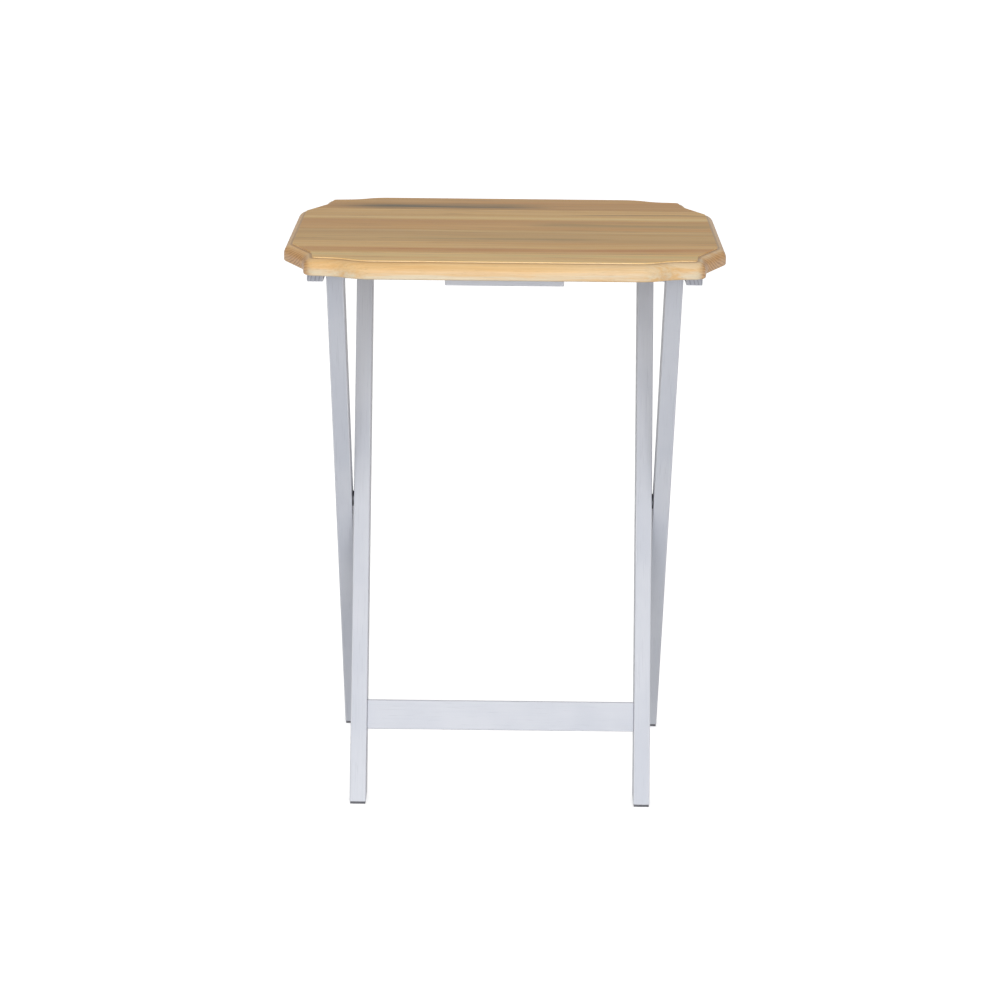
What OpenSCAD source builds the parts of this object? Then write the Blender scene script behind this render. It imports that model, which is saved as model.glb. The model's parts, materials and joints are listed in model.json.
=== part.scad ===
// Folding tray table: a board top with ogee corners on two crossed pairs of legs.
// Millimetres, +Z up, +X to the right and +Y to the back.
// The origin is on the floor, under the middle of the top.

/* [Tabletop] */
// Width of the top, side to side
top_w = 482; // [460:1:500]
// Depth of the top, front to back
top_d = 381; // [370:1:395]
// Height of the finished table
table_h = 660; // [650:1:680]
// Thickness of the boards
board_t = 19; // [17:0.5:22]
// Board widths from front to back; the last board takes what is left
board_widths = [52, 61, 67, 59, 61];

/* [Corner outline] */
// Half length of the straight stretch of the front edge
edge_flat = 140; // [120:1:145]
// Length of the low shoulder beside each corner
shoulder_len = 14; // [10:1:16]
// Radius of the corner nose nearest the front
nose_r = 14; // [12:1:15]
// Radius of the cove between the two noses
cove_r = 25; // [20:1:30]
// Radius of the nose nearest the side
side_nose_r = 22; // [18:1:26]

/* [Edge moulding] */
// How far the round-over reaches in from the edge
round_in = 9.4; // [8:0.1:10]
// Height of the square fillet above the round-over
fillet_h = 1.4; // [1:0.1:2]
// Height of the plain land below the round-over
land_h = 7; // [5:0.5:8]
// Size of the eased lower corner
ease = 1.6; // [1:0.1:2]

/* [Legs] */
// Thickness of a leg, side to side
leg_t = 19; // [17:0.5:20]
// Width of a leg, front to back, square to its length
leg_w = 26; // [24:0.5:28]
// Lean of each pair of legs from upright
leg_lean = 20.3; // [20:0.1:20.8]
// Distance from the middle of the table to the outer face of an outer leg
outer_leg_x = 195.5; // [190:0.5:197]
// Gap between neighbouring wooden parts, filled by a washer
washer_gap = 2; // [1.8:0.1:2.5]
// Distance of the crossing behind the middle of the top
cross_y = 29; // [25:1:32]
// Height of the crossing
cross_z = 331; // [325:1:335]
// Height of the hinge axis and of the rear dowel
hinge_z = 626.5; // [626:0.1:627]

/* [Cross members] */
// Diameter of the two dowels
dowel_d = 16; // [15:0.5:17]
// Depth of a dowel in its leg
dowel_socket = 8; // [6:0.5:10]
// Height of the stretcher, along the leg
stretcher_h = 34; // [30:1:38]
// Thickness of the stretcher
stretcher_t = 12; // [10:0.5:14]
// Height of the stretcher's middle above the floor
stretcher_z = 94; // [90:1:100]
// Setback of the stretcher behind the leg's front face
stretcher_set = 3; // [2:0.5:6]

/* [Blocks under the top] */
// Width of a cleat
cleat_w = 18; // [16:0.5:19]
// Height of a cleat
cleat_h = 21.5; // [21:0.5:23]
// Front end of the cleats
cleat_front = -105; // [-107:1:-103]
// Back end of the cleats
cleat_back = 150; // [148:1:160]
// Width of the hanging block
block_w = 129; // [120:1:140]
// Depth of the hanging block
block_d = 24; // [20:1:26]
// Height of the hanging block
block_h = 20; // [18:1:22]
// Front face of the hanging block
block_front = -124; // [-126:1:-120]
// Width of a catch
catch_w = 20; // [16:1:24]
// Height of a catch
catch_h = 23; // [22:0.5:25]
// Distance of a catch from the middle of the table
catch_x = 128; // [110:1:135]
// Room between a catch and the dowel that rests in it
catch_play = 0.4; // [0.3:0.1:0.6]

/* [Hardware] */
// Diameter of the hinge bolts
hinge_bolt_d = 5; // [4:0.5:5.5]
// Diameter of the crossing bolts
cross_bolt_d = 6; // [5:0.5:6.5]
// Diameter of the wood screws
screw_d = 4; // [3.5:0.5:4]
// Thickness of a foot glide
glide_t = 3; // [2:0.5:4]

/* [Hidden] */
$fn = 48;

LEFT = -1;
RIGHT = 1;
OUTER = -1;  // the outer legs lean forward at the top
INNER = 1;   // the inner legs lean back at the top

half_w = top_w / 2;
half_d = top_d / 2;
under_z = table_h - board_t;
cleat_x = outer_leg_x + washer_gap;
outer_in_x = outer_leg_x - leg_t;
inner_leg_x = outer_in_x - washer_gap;
inner_in_x = inner_leg_x - leg_t;
hinge_y = cross_y - (hinge_z - cross_z) * tan(leg_lean);
catch_y = cross_y + (hinge_z - cross_z) * tan(leg_lean);

play = 0.05;         // radial room round a screw or bolt
washer_play = 0.1;   // room beside a washer, so that it can turn
seat_shift = 0.5;    // how far a turning countersunk head stands clear of its seat
cut = 0.5;           // how far a cutting tool runs past a face
bite = 12;           // how far a wood screw goes into a board
screw_head_r = screw_d;
screw_tip = 3;
screw_tip_r = 0.4;
recess_w = 0.9;      // width of the cross in a screw head
recess_depth = 1.6;

// ---- outline of the top ----

// The corner's curves. An angle is the way the edge faces: 0 to the front and 90 to the side.
step_out_r = 60;
step_in_r = 45;
step_angle = 30;
shoulder_angle = 6;
nose_angle = 84;
flank_len = 14;
flank_angle = 62;

function facing(a) = [sin(a), -cos(a)];
function arc_from(p, r, a0, a1, n) =
    [for (i = [0:n]) let (a = a0 + (a1 - a0) * i / n)
        concat([p.x, p.y] + r * (facing(a) - facing(a0)), facing(a))];
function last(list) = list[len(list) - 1];
function along(p, a, d) = [p.x, p.y] + d * [cos(a), sin(a)];

step_out = arc_from([edge_flat, -half_d], step_out_r, 0, step_angle, 5);
step_in = arc_from(last(step_out), -step_in_r, step_angle, shoulder_angle, 4);
nose = arc_from(along(last(step_in), shoulder_angle, shoulder_len), nose_r, shoulder_angle, nose_angle, 7);
cove = arc_from(along(last(nose), nose_angle, flank_len), -cove_r, nose_angle, flank_angle, 3);
side_room = half_w - last(cove).x - side_nose_r * (1 - sin(flank_angle));
side_nose = arc_from(along(last(cove), flank_angle, side_room / cos(flank_angle)),
                     side_nose_r, flank_angle, 90, 4);
corner = concat(step_out, step_in, nose, cove, side_nose);

function reversed(list) = [for (i = [len(list) - 1:-1:0]) list[i]];
function flipped(list, sx, sy) = [for (p = list) [sx * p[0], sy * p[1], sx * p[2], sy * p[3]]];
outline = concat(corner, reversed(flipped(corner, 1, -1)),
                 flipped(corner, -1, -1), reversed(flipped(corner, -1, 1)));

// ---- edge moulding, as [distance in from the edge, height above the underside] ----

round_h = board_t - land_h - fillet_h;
round_steps = 6;
ease_mid = 0.3 * ease;
fillet_slope = 0.3;
moulding = concat(
    [[ease, 0], [ease_mid, ease_mid], [0, ease]],
    [for (i = [0:round_steps]) let (a = 90 * i / round_steps)
        [round_in * (1 - cos(a)), land_h + round_h * sin(a)]],
    [[round_in + fillet_slope, board_t]]);

module moulded_top() {
    n = len(outline);
    levels = len(moulding);
    points = [for (m = moulding, p = outline) [p[0] - m[0] * p[2], p[1] - m[0] * p[3], under_z + m[1]]];
    sides = [for (k = [0:levels - 2], i = [0:n - 1]) let (j = (i + 1) % n)
        [k * n + i, (k + 1) * n + i, (k + 1) * n + j, k * n + j]];
    polyhedron(points, concat(sides, [[for (i = [0:n - 1]) i]],
                              [[for (i = [n - 1:-1:0]) (levels - 1) * n + i]]));
}

// ---- boards ----

board_count = len(board_widths) + 1;
function front_of(k) = k == 0 ? -half_d : front_of(k - 1) + board_widths[k - 1];
function back_of(k) = k == board_count - 1 ? half_d : front_of(k + 1);
function middle_of(k) = (front_of(k) + back_of(k)) / 2;

cleat_screw_inset = [8, 14];   // from the cleat's front and back ends
block_screw_part = 0.36;       // of the block's width, from its middle
catch_screw_inset = [8.5, 5.5];
catch_reach = [34, 20];        // in front of the dowel's axis and behind it
catch_flank = 40;              // slope of the seat's front flank
cleat_screw_y = concat([cleat_front + cleat_screw_inset[0]],
                       [for (k = [2:board_count - 2]) middle_of(k)],
                       [cleat_back - cleat_screw_inset[1]]);
cleat_screw_spots = [for (side = [LEFT, RIGHT], y = cleat_screw_y) [side * (cleat_x + cleat_w / 2), y]];
block_screw_spots = [for (side = [LEFT, RIGHT])
    [side * block_w * block_screw_part, block_front + block_d / 2]];
catch_screw_y = [catch_y - catch_reach[0] + catch_screw_inset[0],
                 catch_y + catch_reach[1] - catch_screw_inset[1]];
catch_screw_spots = [for (side = [LEFT, RIGHT], y = catch_screw_y) [side * catch_x, y]];

// One board of the top, numbered from the front, with pilot holes for the screws under it
module board(k) {
    color("burlywood")
    difference() {
        intersection() {
            moulded_top();
            translate([-half_w - cut, front_of(k), under_z - cut])
                cube([top_w + 2 * cut, back_of(k) - front_of(k), board_t + 2 * cut]);
        }
        for (spot = concat(cleat_screw_spots, block_screw_spots, catch_screw_spots))
            if (spot.y > front_of(k) && spot.y < back_of(k))
                translate([spot.x, spot.y, under_z - cut])
                    cylinder(h = bite + 2 * cut, r = screw_d / 2 + play);
    }
}

module top_board_1() { board(0); }
module top_board_2() { board(1); }
module top_board_3() { board(2); }
module top_board_4() { board(3); }
module top_board_5() { board(4); }
module top_board_6() { board(5); }

// ---- wood screws ----

// A countersunk wood screw, head at the origin and pointing up
module wood_screw(length) {
    color("silver")
    difference() {
        union() {
            cylinder(h = screw_head_r - screw_d / 2, r1 = screw_head_r, r2 = screw_d / 2);
            cylinder(h = length - screw_tip, r = screw_d / 2);
            translate([0, 0, length - screw_tip])
                cylinder(h = screw_tip, r1 = screw_d / 2, r2 = screw_tip_r);
        }
        for (turn = [0, 90])
            rotate([0, 0, turn])
                translate([-screw_d / 2, -recess_w / 2, -cut])
                    cube([screw_d, recess_w, recess_depth + cut]);
    }
}

// The hole that a wood screw needs in the piece it holds
module screw_hole(length) {
    sink = screw_head_r - screw_d / 2;
    cylinder(h = length, r = screw_d / 2 + play);
    translate([0, 0, -cut])
        cylinder(h = sink + cut, r1 = screw_head_r + play + cut, r2 = screw_d / 2 + play);
}

// ---- cleats, hanging block and catches ----

module cleat(side) {
    color("ghostwhite")
    difference() {
        translate([side * (cleat_x + cleat_w / 2) - cleat_w / 2, cleat_front, under_z - cleat_h])
            cube([cleat_w, cleat_back - cleat_front, cleat_h]);
        for (y = cleat_screw_y)
            translate([side * (cleat_x + cleat_w / 2), y, under_z - cleat_h])
                screw_hole(cleat_h + cut);
        on_axis(side, cleat_x - cut, hinge_y, hinge_z)
            cylinder(h = cleat_w + 2 * cut, r = hinge_bolt_d / 2 + play);
        on_axis(side, cleat_x + cleat_w, hinge_y, hinge_z)
            bolt_seat(hinge_bolt_d);
    }
}

module cleat_left() { cleat(LEFT); }
module cleat_right() { cleat(RIGHT); }

module cleat_screws() {
    for (spot = cleat_screw_spots)
        translate([spot.x, spot.y, under_z - cleat_h])
            wood_screw(cleat_h + bite);
}

module hang_block() {
    color("ghostwhite")
    difference() {
        translate([-block_w / 2, block_front, under_z - block_h])
            cube([block_w, block_d, block_h]);
        for (spot = block_screw_spots)
            translate([spot.x, spot.y, under_z - block_h])
                screw_hole(block_h + cut);
    }
}

module block_screws() {
    for (spot = block_screw_spots)
        translate([spot.x, spot.y, under_z - block_h])
            wood_screw(block_h + bite);
}

// A catch: a block with a seat that drops over the rear dowel. The seat's front flank slopes,
// so that the dowel leaves it forwards and down as the top is lifted.
module catch(side) {
    seat_r = dowel_d / 2 + catch_play;
    lip = seat_r * [-cos(catch_flank), sin(catch_flank)];
    mouth_z = lip.y - catch_h;
    color("ghostwhite")
    difference() {
        translate([side * catch_x - catch_w / 2, catch_y - catch_reach[0], under_z - catch_h])
            cube([catch_w, catch_reach[0] + catch_reach[1], catch_h]);
        translate([side * catch_x - catch_w / 2 - cut, catch_y, hinge_z])
            rotate([90, 0, 90]) {
                cylinder(h = catch_w + 2 * cut, r = seat_r);
                linear_extrude(catch_w + 2 * cut)
                    polygon([[0, 0], lip, [lip.x - catch_h * tan(catch_flank), mouth_z],
                             [seat_r, mouth_z], [seat_r, 0]]);
            }
        for (y = catch_screw_y)
            translate([side * catch_x, y, under_z - catch_h])
                screw_hole(catch_h + cut);
    }
}

module catch_left() { catch(LEFT); }
module catch_right() { catch(RIGHT); }

module catch_screws() {
    for (spot = catch_screw_spots)
        translate([spot.x, spot.y, under_z - catch_h])
            wood_screw(catch_h + bite);
}

// ---- bolts and washers, along the side-to-side axis ----

// Puts a piece drawn along +Z on a sideways axis, at distance x, pointing away from the middle
module on_axis(side, x, y, z) {
    translate([side * x, y, z])
        rotate([0, side * 90, 0])
            children();
}

// Parts of a bolt, as shares of its diameter
head_r_part = 0.92;
socket_r_part = 0.35;
socket_depth_part = 0.5;

// The countersink in which a bolt's head turns, with its wide end at the origin, facing +Z
module bolt_seat(d) {
    wide = d * head_r_part + seat_shift;
    deep = wide - d / 2 - play;
    translate([0, 0, -deep])
        cylinder(h = deep + cut, r1 = d / 2 + play, r2 = wide + cut);
}

// A countersunk bolt with a hexagon socket, its head's face at the origin, running down -Z
module bolt(d, length) {
    head_r = d * head_r_part;
    head_h = head_r - d / 2;
    socket_depth = d * socket_depth_part;
    color("silver")
    difference() {
        union() {
            translate([0, 0, -length])
                cylinder(h = length, r = d / 2);
            translate([0, 0, -head_h])
                cylinder(h = head_h, r1 = d / 2, r2 = head_r);
        }
        translate([0, 0, -socket_depth])
            cylinder(h = socket_depth + cut, r = d * socket_r_part, $fn = 6);
    }
}

module washer(side, x, y, z, d, outer_r) {
    color("dimgray")
    on_axis(side, x, y, z)
        difference() {
            cylinder(h = washer_gap - washer_play, r = outer_r);
            translate([0, 0, -cut])
                cylinder(h = washer_gap + 2 * cut, r = d / 2 + play);
        }
}

hinge_bolt_bite = 12;   // how far the hinge bolt goes into the dowel, past the leg
cross_end_gap = 3;      // from the crossing bolt's end to the nut's head face
hinge_washer_r = 6;
cross_washer_r = 9;
hinge_bolt_end = outer_in_x - hinge_bolt_bite;
hinge_head_x = cleat_x + cleat_w - seat_shift;
cross_head_x = outer_leg_x - seat_shift;
cross_bolt_end = inner_in_x + cross_end_gap;
nut_r = 4;
nut_head_r = 6;
nut_head_h = 1.5;
nut_len = 15;
nut_floor = 2.5;        // where the bolt's hole starts, past the socket
nut_socket_r = 2;
nut_socket_depth = 1.5;

module hinge_bolt(side) {
    on_axis(side, hinge_head_x, hinge_y, hinge_z)
        bolt(hinge_bolt_d, hinge_head_x - hinge_bolt_end);
}
module hinge_bolt_left() { hinge_bolt(LEFT); }
module hinge_bolt_right() { hinge_bolt(RIGHT); }

module hinge_washer(side) { washer(side, outer_leg_x, hinge_y, hinge_z, hinge_bolt_d, hinge_washer_r); }
module hinge_washer_left() { hinge_washer(LEFT); }
module hinge_washer_right() { hinge_washer(RIGHT); }

module cross_bolt(side) {
    on_axis(side, cross_head_x, cross_y, cross_z)
        bolt(cross_bolt_d, cross_head_x - cross_bolt_end);
}
module cross_bolt_left() { cross_bolt(LEFT); }
module cross_bolt_right() { cross_bolt(RIGHT); }

// A sleeve nut in the inner leg, with a flat head flush with the leg's inner face
module cross_nut(side) {
    color("silver")
    on_axis(side, inner_in_x, cross_y, cross_z)
        difference() {
            union() {
                cylinder(h = nut_head_h, r = nut_head_r);
                cylinder(h = nut_len, r = nut_r);
            }
            translate([0, 0, nut_floor])
                cylinder(h = nut_len, r = cross_bolt_d / 2 + play);
            translate([0, 0, -cut])
                cylinder(h = nut_socket_depth + cut, r = nut_socket_r, $fn = 6);
        }
}
module cross_nut_left() { cross_nut(LEFT); }
module cross_nut_right() { cross_nut(RIGHT); }

module cross_washer(side) { washer(side, inner_leg_x, cross_y, cross_z, cross_bolt_d, cross_washer_r); }
module cross_washer_left() { cross_washer(LEFT); }
module cross_washer_right() { cross_washer(RIGHT); }

// ---- legs ----

function leg_dir(pair) = [pair * sin(leg_lean), cos(leg_lean)];
function leg_normal(pair) = [cos(leg_lean), -pair * sin(leg_lean)];
function leg_end(pair) = [cross_y + pair * (hinge_z - cross_z) * tan(leg_lean), hinge_z];
function leg_middle(pair, z) = cross_y + pair * (z - cross_z) * tan(leg_lean);
foot_half = leg_w / 2 / cos(leg_lean);

// The side view of a leg: a leaning bar cut level above its glide. Its upper end is a half round
// about the dowel, so that it turns under the top.
module leg(pair, side, x_in) {
    foot = leg_middle(pair, glide_t);
    tip = leg_end(pair);
    reach = leg_w / 2 * leg_normal(pair);
    translate([side * (x_in + leg_t / 2) - leg_t / 2, 0, 0])
        rotate([90, 0, 90]) {
            linear_extrude(leg_t)
                polygon([[foot - foot_half, glide_t], [foot + foot_half, glide_t], tip + reach, tip - reach]);
            translate([tip.x, tip.y, 0])
                cylinder(h = leg_t, r = leg_w / 2);
        }
}

module outer_leg(side) {
    color("ghostwhite")
    difference() {
        leg(OUTER, side, outer_in_x);
        on_axis(side, outer_in_x - cut, hinge_y, hinge_z) {
            cylinder(h = leg_t + 2 * cut, r = hinge_bolt_d / 2 + play);
            cylinder(h = dowel_socket + cut, r = dowel_d / 2);
        }
        on_axis(side, outer_in_x - cut, cross_y, cross_z)
            cylinder(h = leg_t + 2 * cut, r = cross_bolt_d / 2 + play);
        on_axis(side, outer_leg_x, cross_y, cross_z)
            bolt_seat(cross_bolt_d);
        glide_nail(OUTER, side, outer_in_x, play);
    }
}
module outer_leg_left() { outer_leg(LEFT); }
module outer_leg_right() { outer_leg(RIGHT); }

module inner_leg(side) {
    color("ghostwhite")
    difference() {
        leg(INNER, side, inner_in_x);
        on_axis(side, inner_in_x - cut, catch_y, hinge_z)
            cylinder(h = dowel_socket + cut, r = dowel_d / 2);
        on_axis(side, inner_in_x - cut, cross_y, cross_z) {
            cylinder(h = leg_t + 2 * cut, r = cross_bolt_d / 2 + play);
            cylinder(h = nut_len + cut, r = nut_r + play);
            cylinder(h = nut_head_h + cut, r = nut_head_r + play);
        }
        stretcher_screw_places(side)
            screw_hole(leg_t + cut);
        glide_nail(INNER, side, inner_in_x, play);
    }
}
module inner_leg_left() { inner_leg(LEFT); }
module inner_leg_right() { inner_leg(RIGHT); }

// ---- dowels and stretcher ----

module dowel(x_in, y) {
    half = x_in + dowel_socket;
    color("ghostwhite")
    translate([-half, y, hinge_z])
        rotate([0, 90, 0])
            cylinder(h = 2 * half, r = dowel_d / 2);
}

module outer_top_dowel() {
    difference() {
        dowel(outer_in_x, hinge_y);
        for (side = [LEFT, RIGHT])
            on_axis(side, hinge_bolt_end - cut, hinge_y, hinge_z)
                cylinder(h = outer_in_x + dowel_socket - hinge_bolt_end + 2 * cut,
                         r = hinge_bolt_d / 2 + play);
    }
}
module inner_top_dowel() { dowel(inner_in_x, catch_y); }

// The middle of the stretcher's section, in side view
stretcher_mid = [leg_middle(INNER, stretcher_z), stretcher_z]
    - (leg_w / 2 - stretcher_set - stretcher_t / 2) * leg_normal(INNER);
stretcher_screw_gap = 18;
stretcher_screw_bite = 22;

module stretcher_screw_places(side) {
    for (k = [-0.5, 0.5])
        let (spot = stretcher_mid + k * stretcher_screw_gap * leg_dir(INNER))
            translate([side * inner_leg_x, spot.x, spot.y])
                rotate([0, -side * 90, 0])
                    children();
}

module front_stretcher() {
    color("ghostwhite")
    difference() {
        translate([-inner_in_x, stretcher_mid.x, stretcher_mid.y])
            rotate([-leg_lean, 0, 0])
                translate([0, -stretcher_t / 2, -stretcher_h / 2])
                    cube([2 * inner_in_x, stretcher_t, stretcher_h]);
        for (side = [LEFT, RIGHT])
            stretcher_screw_places(side)
                cylinder(h = leg_t + stretcher_screw_bite + cut, r = screw_d / 2 + play);
    }
}

module stretcher_screws() {
    for (side = [LEFT, RIGHT])
        stretcher_screw_places(side)
            wood_screw(leg_t + stretcher_screw_bite);
}

// ---- foot glides ----

glide_inset = 0.6;
glide_flare = 0.8;
nail_r = 1.2;
nail_len = 12;

module glide_nail(pair, side, x_in, room) {
    translate([side * (x_in + leg_t / 2), leg_middle(pair, glide_t), glide_t - cut])
        cylinder(h = nail_len + cut, r = nail_r + room);
}

// A glide: a pad under the foot with a chamfered rim, held by its own nail
module glide(pair, side, x_in) {
    half_x = leg_t / 2 - glide_inset;
    half_y = foot_half - glide_inset;
    color("dimgray") {
        translate([side * (x_in + leg_t / 2) - half_x, leg_middle(pair, glide_t), 0])
            rotate([90, 0, 90])
                linear_extrude(2 * half_x)
                    polygon([[-half_y + glide_flare, 0], [half_y - glide_flare, 0],
                             [half_y, glide_flare], [half_y, glide_t],
                             [-half_y, glide_t], [-half_y, glide_flare]]);
        glide_nail(pair, side, x_in, 0);
    }
}

module glide_outer_left() { glide(OUTER, LEFT, outer_in_x); }
module glide_outer_right() { glide(OUTER, RIGHT, outer_in_x); }
module glide_inner_left() { glide(INNER, LEFT, inner_in_x); }
module glide_inner_right() { glide(INNER, RIGHT, inner_in_x); }

top_board_1();
top_board_2();
top_board_3();
top_board_4();
top_board_5();
top_board_6();
cleat_left();
cleat_right();
cleat_screws();
hang_block();
block_screws();
catch_left();
catch_right();
catch_screws();
outer_leg_left();
outer_leg_right();
outer_top_dowel();
hinge_bolt_left();
hinge_bolt_right();
hinge_washer_left();
hinge_washer_right();
glide_outer_left();
glide_outer_right();
inner_leg_left();
inner_leg_right();
inner_top_dowel();
front_stretcher();
stretcher_screws();
cross_bolt_left();
cross_bolt_right();
cross_nut_left();
cross_nut_right();
cross_washer_left();
cross_washer_right();
glide_inner_left();
glide_inner_right();
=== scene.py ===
"""A folding tray table: a board top with ogee corners on two crossed pairs of painted legs.

Each class dresses one sub-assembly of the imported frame. Lengths are in metres, +Z is up,
+X is to the right and +Y is to the back. Every place comes from the frame's own nodes.
"""

import json
import logging
import math
from dataclasses import dataclass
from enum import Enum

import bmesh
import bpy
from mathutils import Matrix, Vector

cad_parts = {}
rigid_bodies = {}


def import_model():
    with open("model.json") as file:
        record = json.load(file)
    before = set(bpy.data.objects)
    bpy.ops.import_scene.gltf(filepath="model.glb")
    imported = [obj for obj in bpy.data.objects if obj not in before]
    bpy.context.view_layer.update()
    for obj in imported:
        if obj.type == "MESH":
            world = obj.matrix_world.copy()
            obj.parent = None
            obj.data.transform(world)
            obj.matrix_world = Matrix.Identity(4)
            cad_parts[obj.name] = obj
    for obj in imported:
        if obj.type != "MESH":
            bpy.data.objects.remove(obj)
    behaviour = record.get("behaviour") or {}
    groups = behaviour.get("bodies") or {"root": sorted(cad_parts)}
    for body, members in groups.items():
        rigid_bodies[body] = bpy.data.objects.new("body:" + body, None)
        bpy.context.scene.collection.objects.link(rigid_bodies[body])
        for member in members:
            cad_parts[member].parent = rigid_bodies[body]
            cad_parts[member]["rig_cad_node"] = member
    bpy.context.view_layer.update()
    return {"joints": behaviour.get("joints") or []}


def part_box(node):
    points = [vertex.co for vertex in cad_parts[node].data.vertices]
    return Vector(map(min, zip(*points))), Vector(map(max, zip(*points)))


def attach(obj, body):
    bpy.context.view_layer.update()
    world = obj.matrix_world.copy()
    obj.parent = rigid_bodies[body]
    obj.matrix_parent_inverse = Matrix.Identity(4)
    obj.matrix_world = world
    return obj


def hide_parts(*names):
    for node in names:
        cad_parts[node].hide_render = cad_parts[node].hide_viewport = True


MM = 0.001
TINY = 1e-7
OVERRUN = 0.5 * MM  # how far a cutting tool runs past a face
SOCKET_ROOM = 0.05 * MM  # room round a dowel or a bolt in its hole
SMOOTH_ANGLE = math.radians(35)  # sharper edges than this are drawn sharp
BEVEL_ANGLE = math.radians(40)  # sharper edges than this are eased
BOLT_HEAD_RATIO = 1.84  # how much wider a bolt's countersunk head is than its shank
SCREW_HEAD = 4 * MM  # radius of a wood screw's countersink
SCREW_SHANK = 2 * MM
NUT_SLEEVE = 4 * MM  # radius of a sleeve nut's body
NUT_FLANGE = 1.5 * MM  # thickness of its head
STEEL_RIM = 0.4 * MM  # the widest face that counts as a rim on hardware
ROUND_MIDDLE = 0.3  # where the middle of a small rounding lies, as a share of its width

log = logging.getLogger("tray_table")

Value = float | bpy.types.NodeSocket
Colour = tuple[float, float, float]
Triple = tuple[float, float, float]  # X, Y and Z
Point2 = tuple[float, float]
Trail = list[tuple[Vector, Vector]]  # points of an outline, each with the way that its edge faces


class Body(Enum):
    """The moving bodies of the frame."""

    OUTER = "outer_frame"
    INNER = "inner_frame"
    TOP = "top"


class Slot(Enum):
    """The finishes that a scene may repaint."""

    WOOD = "clear_wood"
    PAINT = "painted_wood"
    STEEL = "steel"
    PLASTIC = "glide_plastic"


class Side(Enum):
    """The two sides of the table, with the sign of X there."""

    LEFT = -1
    RIGHT = 1

    @property
    def word(self) -> str:
        """The side's name, as the nodes spell it."""
        return self.name.lower()


def tone(red: int, green: int, blue: int) -> Colour:
    """Turns a colour as a paint card gives it, 0 to 255, into linear light.

    Args:
        red: The red part.
        green: The green part.
        blue: The blue part.

    Returns:
        The linear colour.
    """

    def linear(part: int) -> float:
        """One part in linear light."""
        share = part / 255
        return share / 12.92 if share <= 0.04045 else ((share + 0.055) / 1.055) ** 2.4

    return linear(red), linear(green), linear(blue)


# ---- mesh tools ----


@dataclass(frozen=True)
class Box:
    """An upright box, as a node of the frame fills it."""

    low: Vector
    high: Vector

    @classmethod
    def of(cls, node: str) -> "Box":
        """The box of one node of the frame."""
        return cls(*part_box(node))

    @property
    def size(self) -> Vector:
        """The box's width, depth and height."""
        return self.high - self.low

    @property
    def middle(self) -> Vector:
        """The middle of the box."""
        return (self.low + self.high) / 2


def new_object(name: str, mesh_data: bmesh.types.BMesh) -> bpy.types.Object:
    """Makes an object at the origin from mesh data, with its faces pointing out.

    Args:
        name: The object's name.
        mesh_data: The mesh, which is freed.

    Returns:
        The object, linked to the scene.
    """
    bmesh.ops.recalc_face_normals(mesh_data, faces=mesh_data.faces)
    mesh = bpy.data.meshes.new(name)
    mesh_data.to_mesh(mesh)
    mesh_data.free()
    made = bpy.data.objects.new(name, mesh)
    bpy.context.scene.collection.objects.link(made)
    return made


def settle(made: bpy.types.Object) -> bpy.types.Object:
    """Turns an object's live modifiers into plain mesh.

    Args:
        made: The object.

    Returns:
        The same object, with no modifier left.
    """
    bpy.context.view_layer.update()
    graph = bpy.context.evaluated_depsgraph_get()
    mesh = bpy.data.meshes.new_from_object(made.evaluated_get(graph), depsgraph=graph)
    old = made.data
    made.modifiers.clear()
    made.data = mesh
    bpy.data.meshes.remove(old)
    mesh.name = made.name
    return made


def ease(made: bpy.types.Object, width: float, segments: int = 3) -> bpy.types.Object:
    """Rounds an object's sharp edges over, as sanding does.

    Args:
        made: The object.
        width: The width of the rounding.
        segments: How many faces cross the rounding.

    Returns:
        The same object, rounded.
    """
    bevel = made.modifiers.new("Ease", "BEVEL")
    bevel.width = width
    bevel.segments = segments
    bevel.limit_method = "ANGLE"
    bevel.angle_limit = BEVEL_ANGLE
    return settle(made)


def carve(made: bpy.types.Object, tools: bmesh.types.BMesh) -> bpy.types.Object:
    """Cuts holes into an object.

    Args:
        made: The object.
        tools: The closed shapes to take away, which are freed.

    Returns:
        The same object, cut.
    """
    tool = new_object("tool", tools)
    boolean = made.modifiers.new("Carve", "BOOLEAN")
    boolean.operation = "DIFFERENCE"
    boolean.solver = "EXACT"
    boolean.object = tool
    settle(made)
    spent = tool.data
    bpy.data.objects.remove(tool)
    bpy.data.meshes.remove(spent)
    return made


def polish(made: bpy.types.Object, rim_width: float = 0.9 * MM) -> bpy.types.Object:
    """Shades an object smoothly and marks its narrow faces, where a finish wears first.

    Args:
        made: The object.
        rim_width: The widest face that counts as a rim.

    Returns:
        The same object, with a "rim" attribute of 1 on its rims.
    """
    mesh = made.data
    mesh.shade_smooth()
    mesh.set_sharp_from_angle(angle=SMOOTH_ANGLE)
    weighted = made.modifiers.new("Shading", "WEIGHTED_NORMAL")
    weighted.mode = "FACE_AREA"
    weighted.keep_sharp = True
    mesh = settle(made).data
    rim = mesh.attributes.new("rim", "FLOAT", "FACE")
    for face in mesh.polygons:
        around = sum(
            (mesh.vertices[a].co - mesh.vertices[b].co).length for a, b in face.edge_keys
        )
        rim.data[face.index].value = float(2 * face.area < rim_width * around)
    return made


def add_prism(shape: bmesh.types.BMesh, outline: list[Point2], x0: float, x1: float) -> None:
    """Adds a bar with an outline in side view.

    Args:
        shape: The mesh that gains the bar.
        outline: The outline's points, as Y and Z.
        x0: Where the bar starts.
        x1: Where the bar ends.
    """
    ends = [[shape.verts.new((x, y, z)) for y, z in outline] for x in (x0, x1)]
    for ring in ends:
        shape.faces.new(ring)
    for i in range(len(outline)):
        j = (i + 1) % len(outline)
        shape.faces.new((ends[0][i], ends[0][j], ends[1][j], ends[1][i]))


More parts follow.
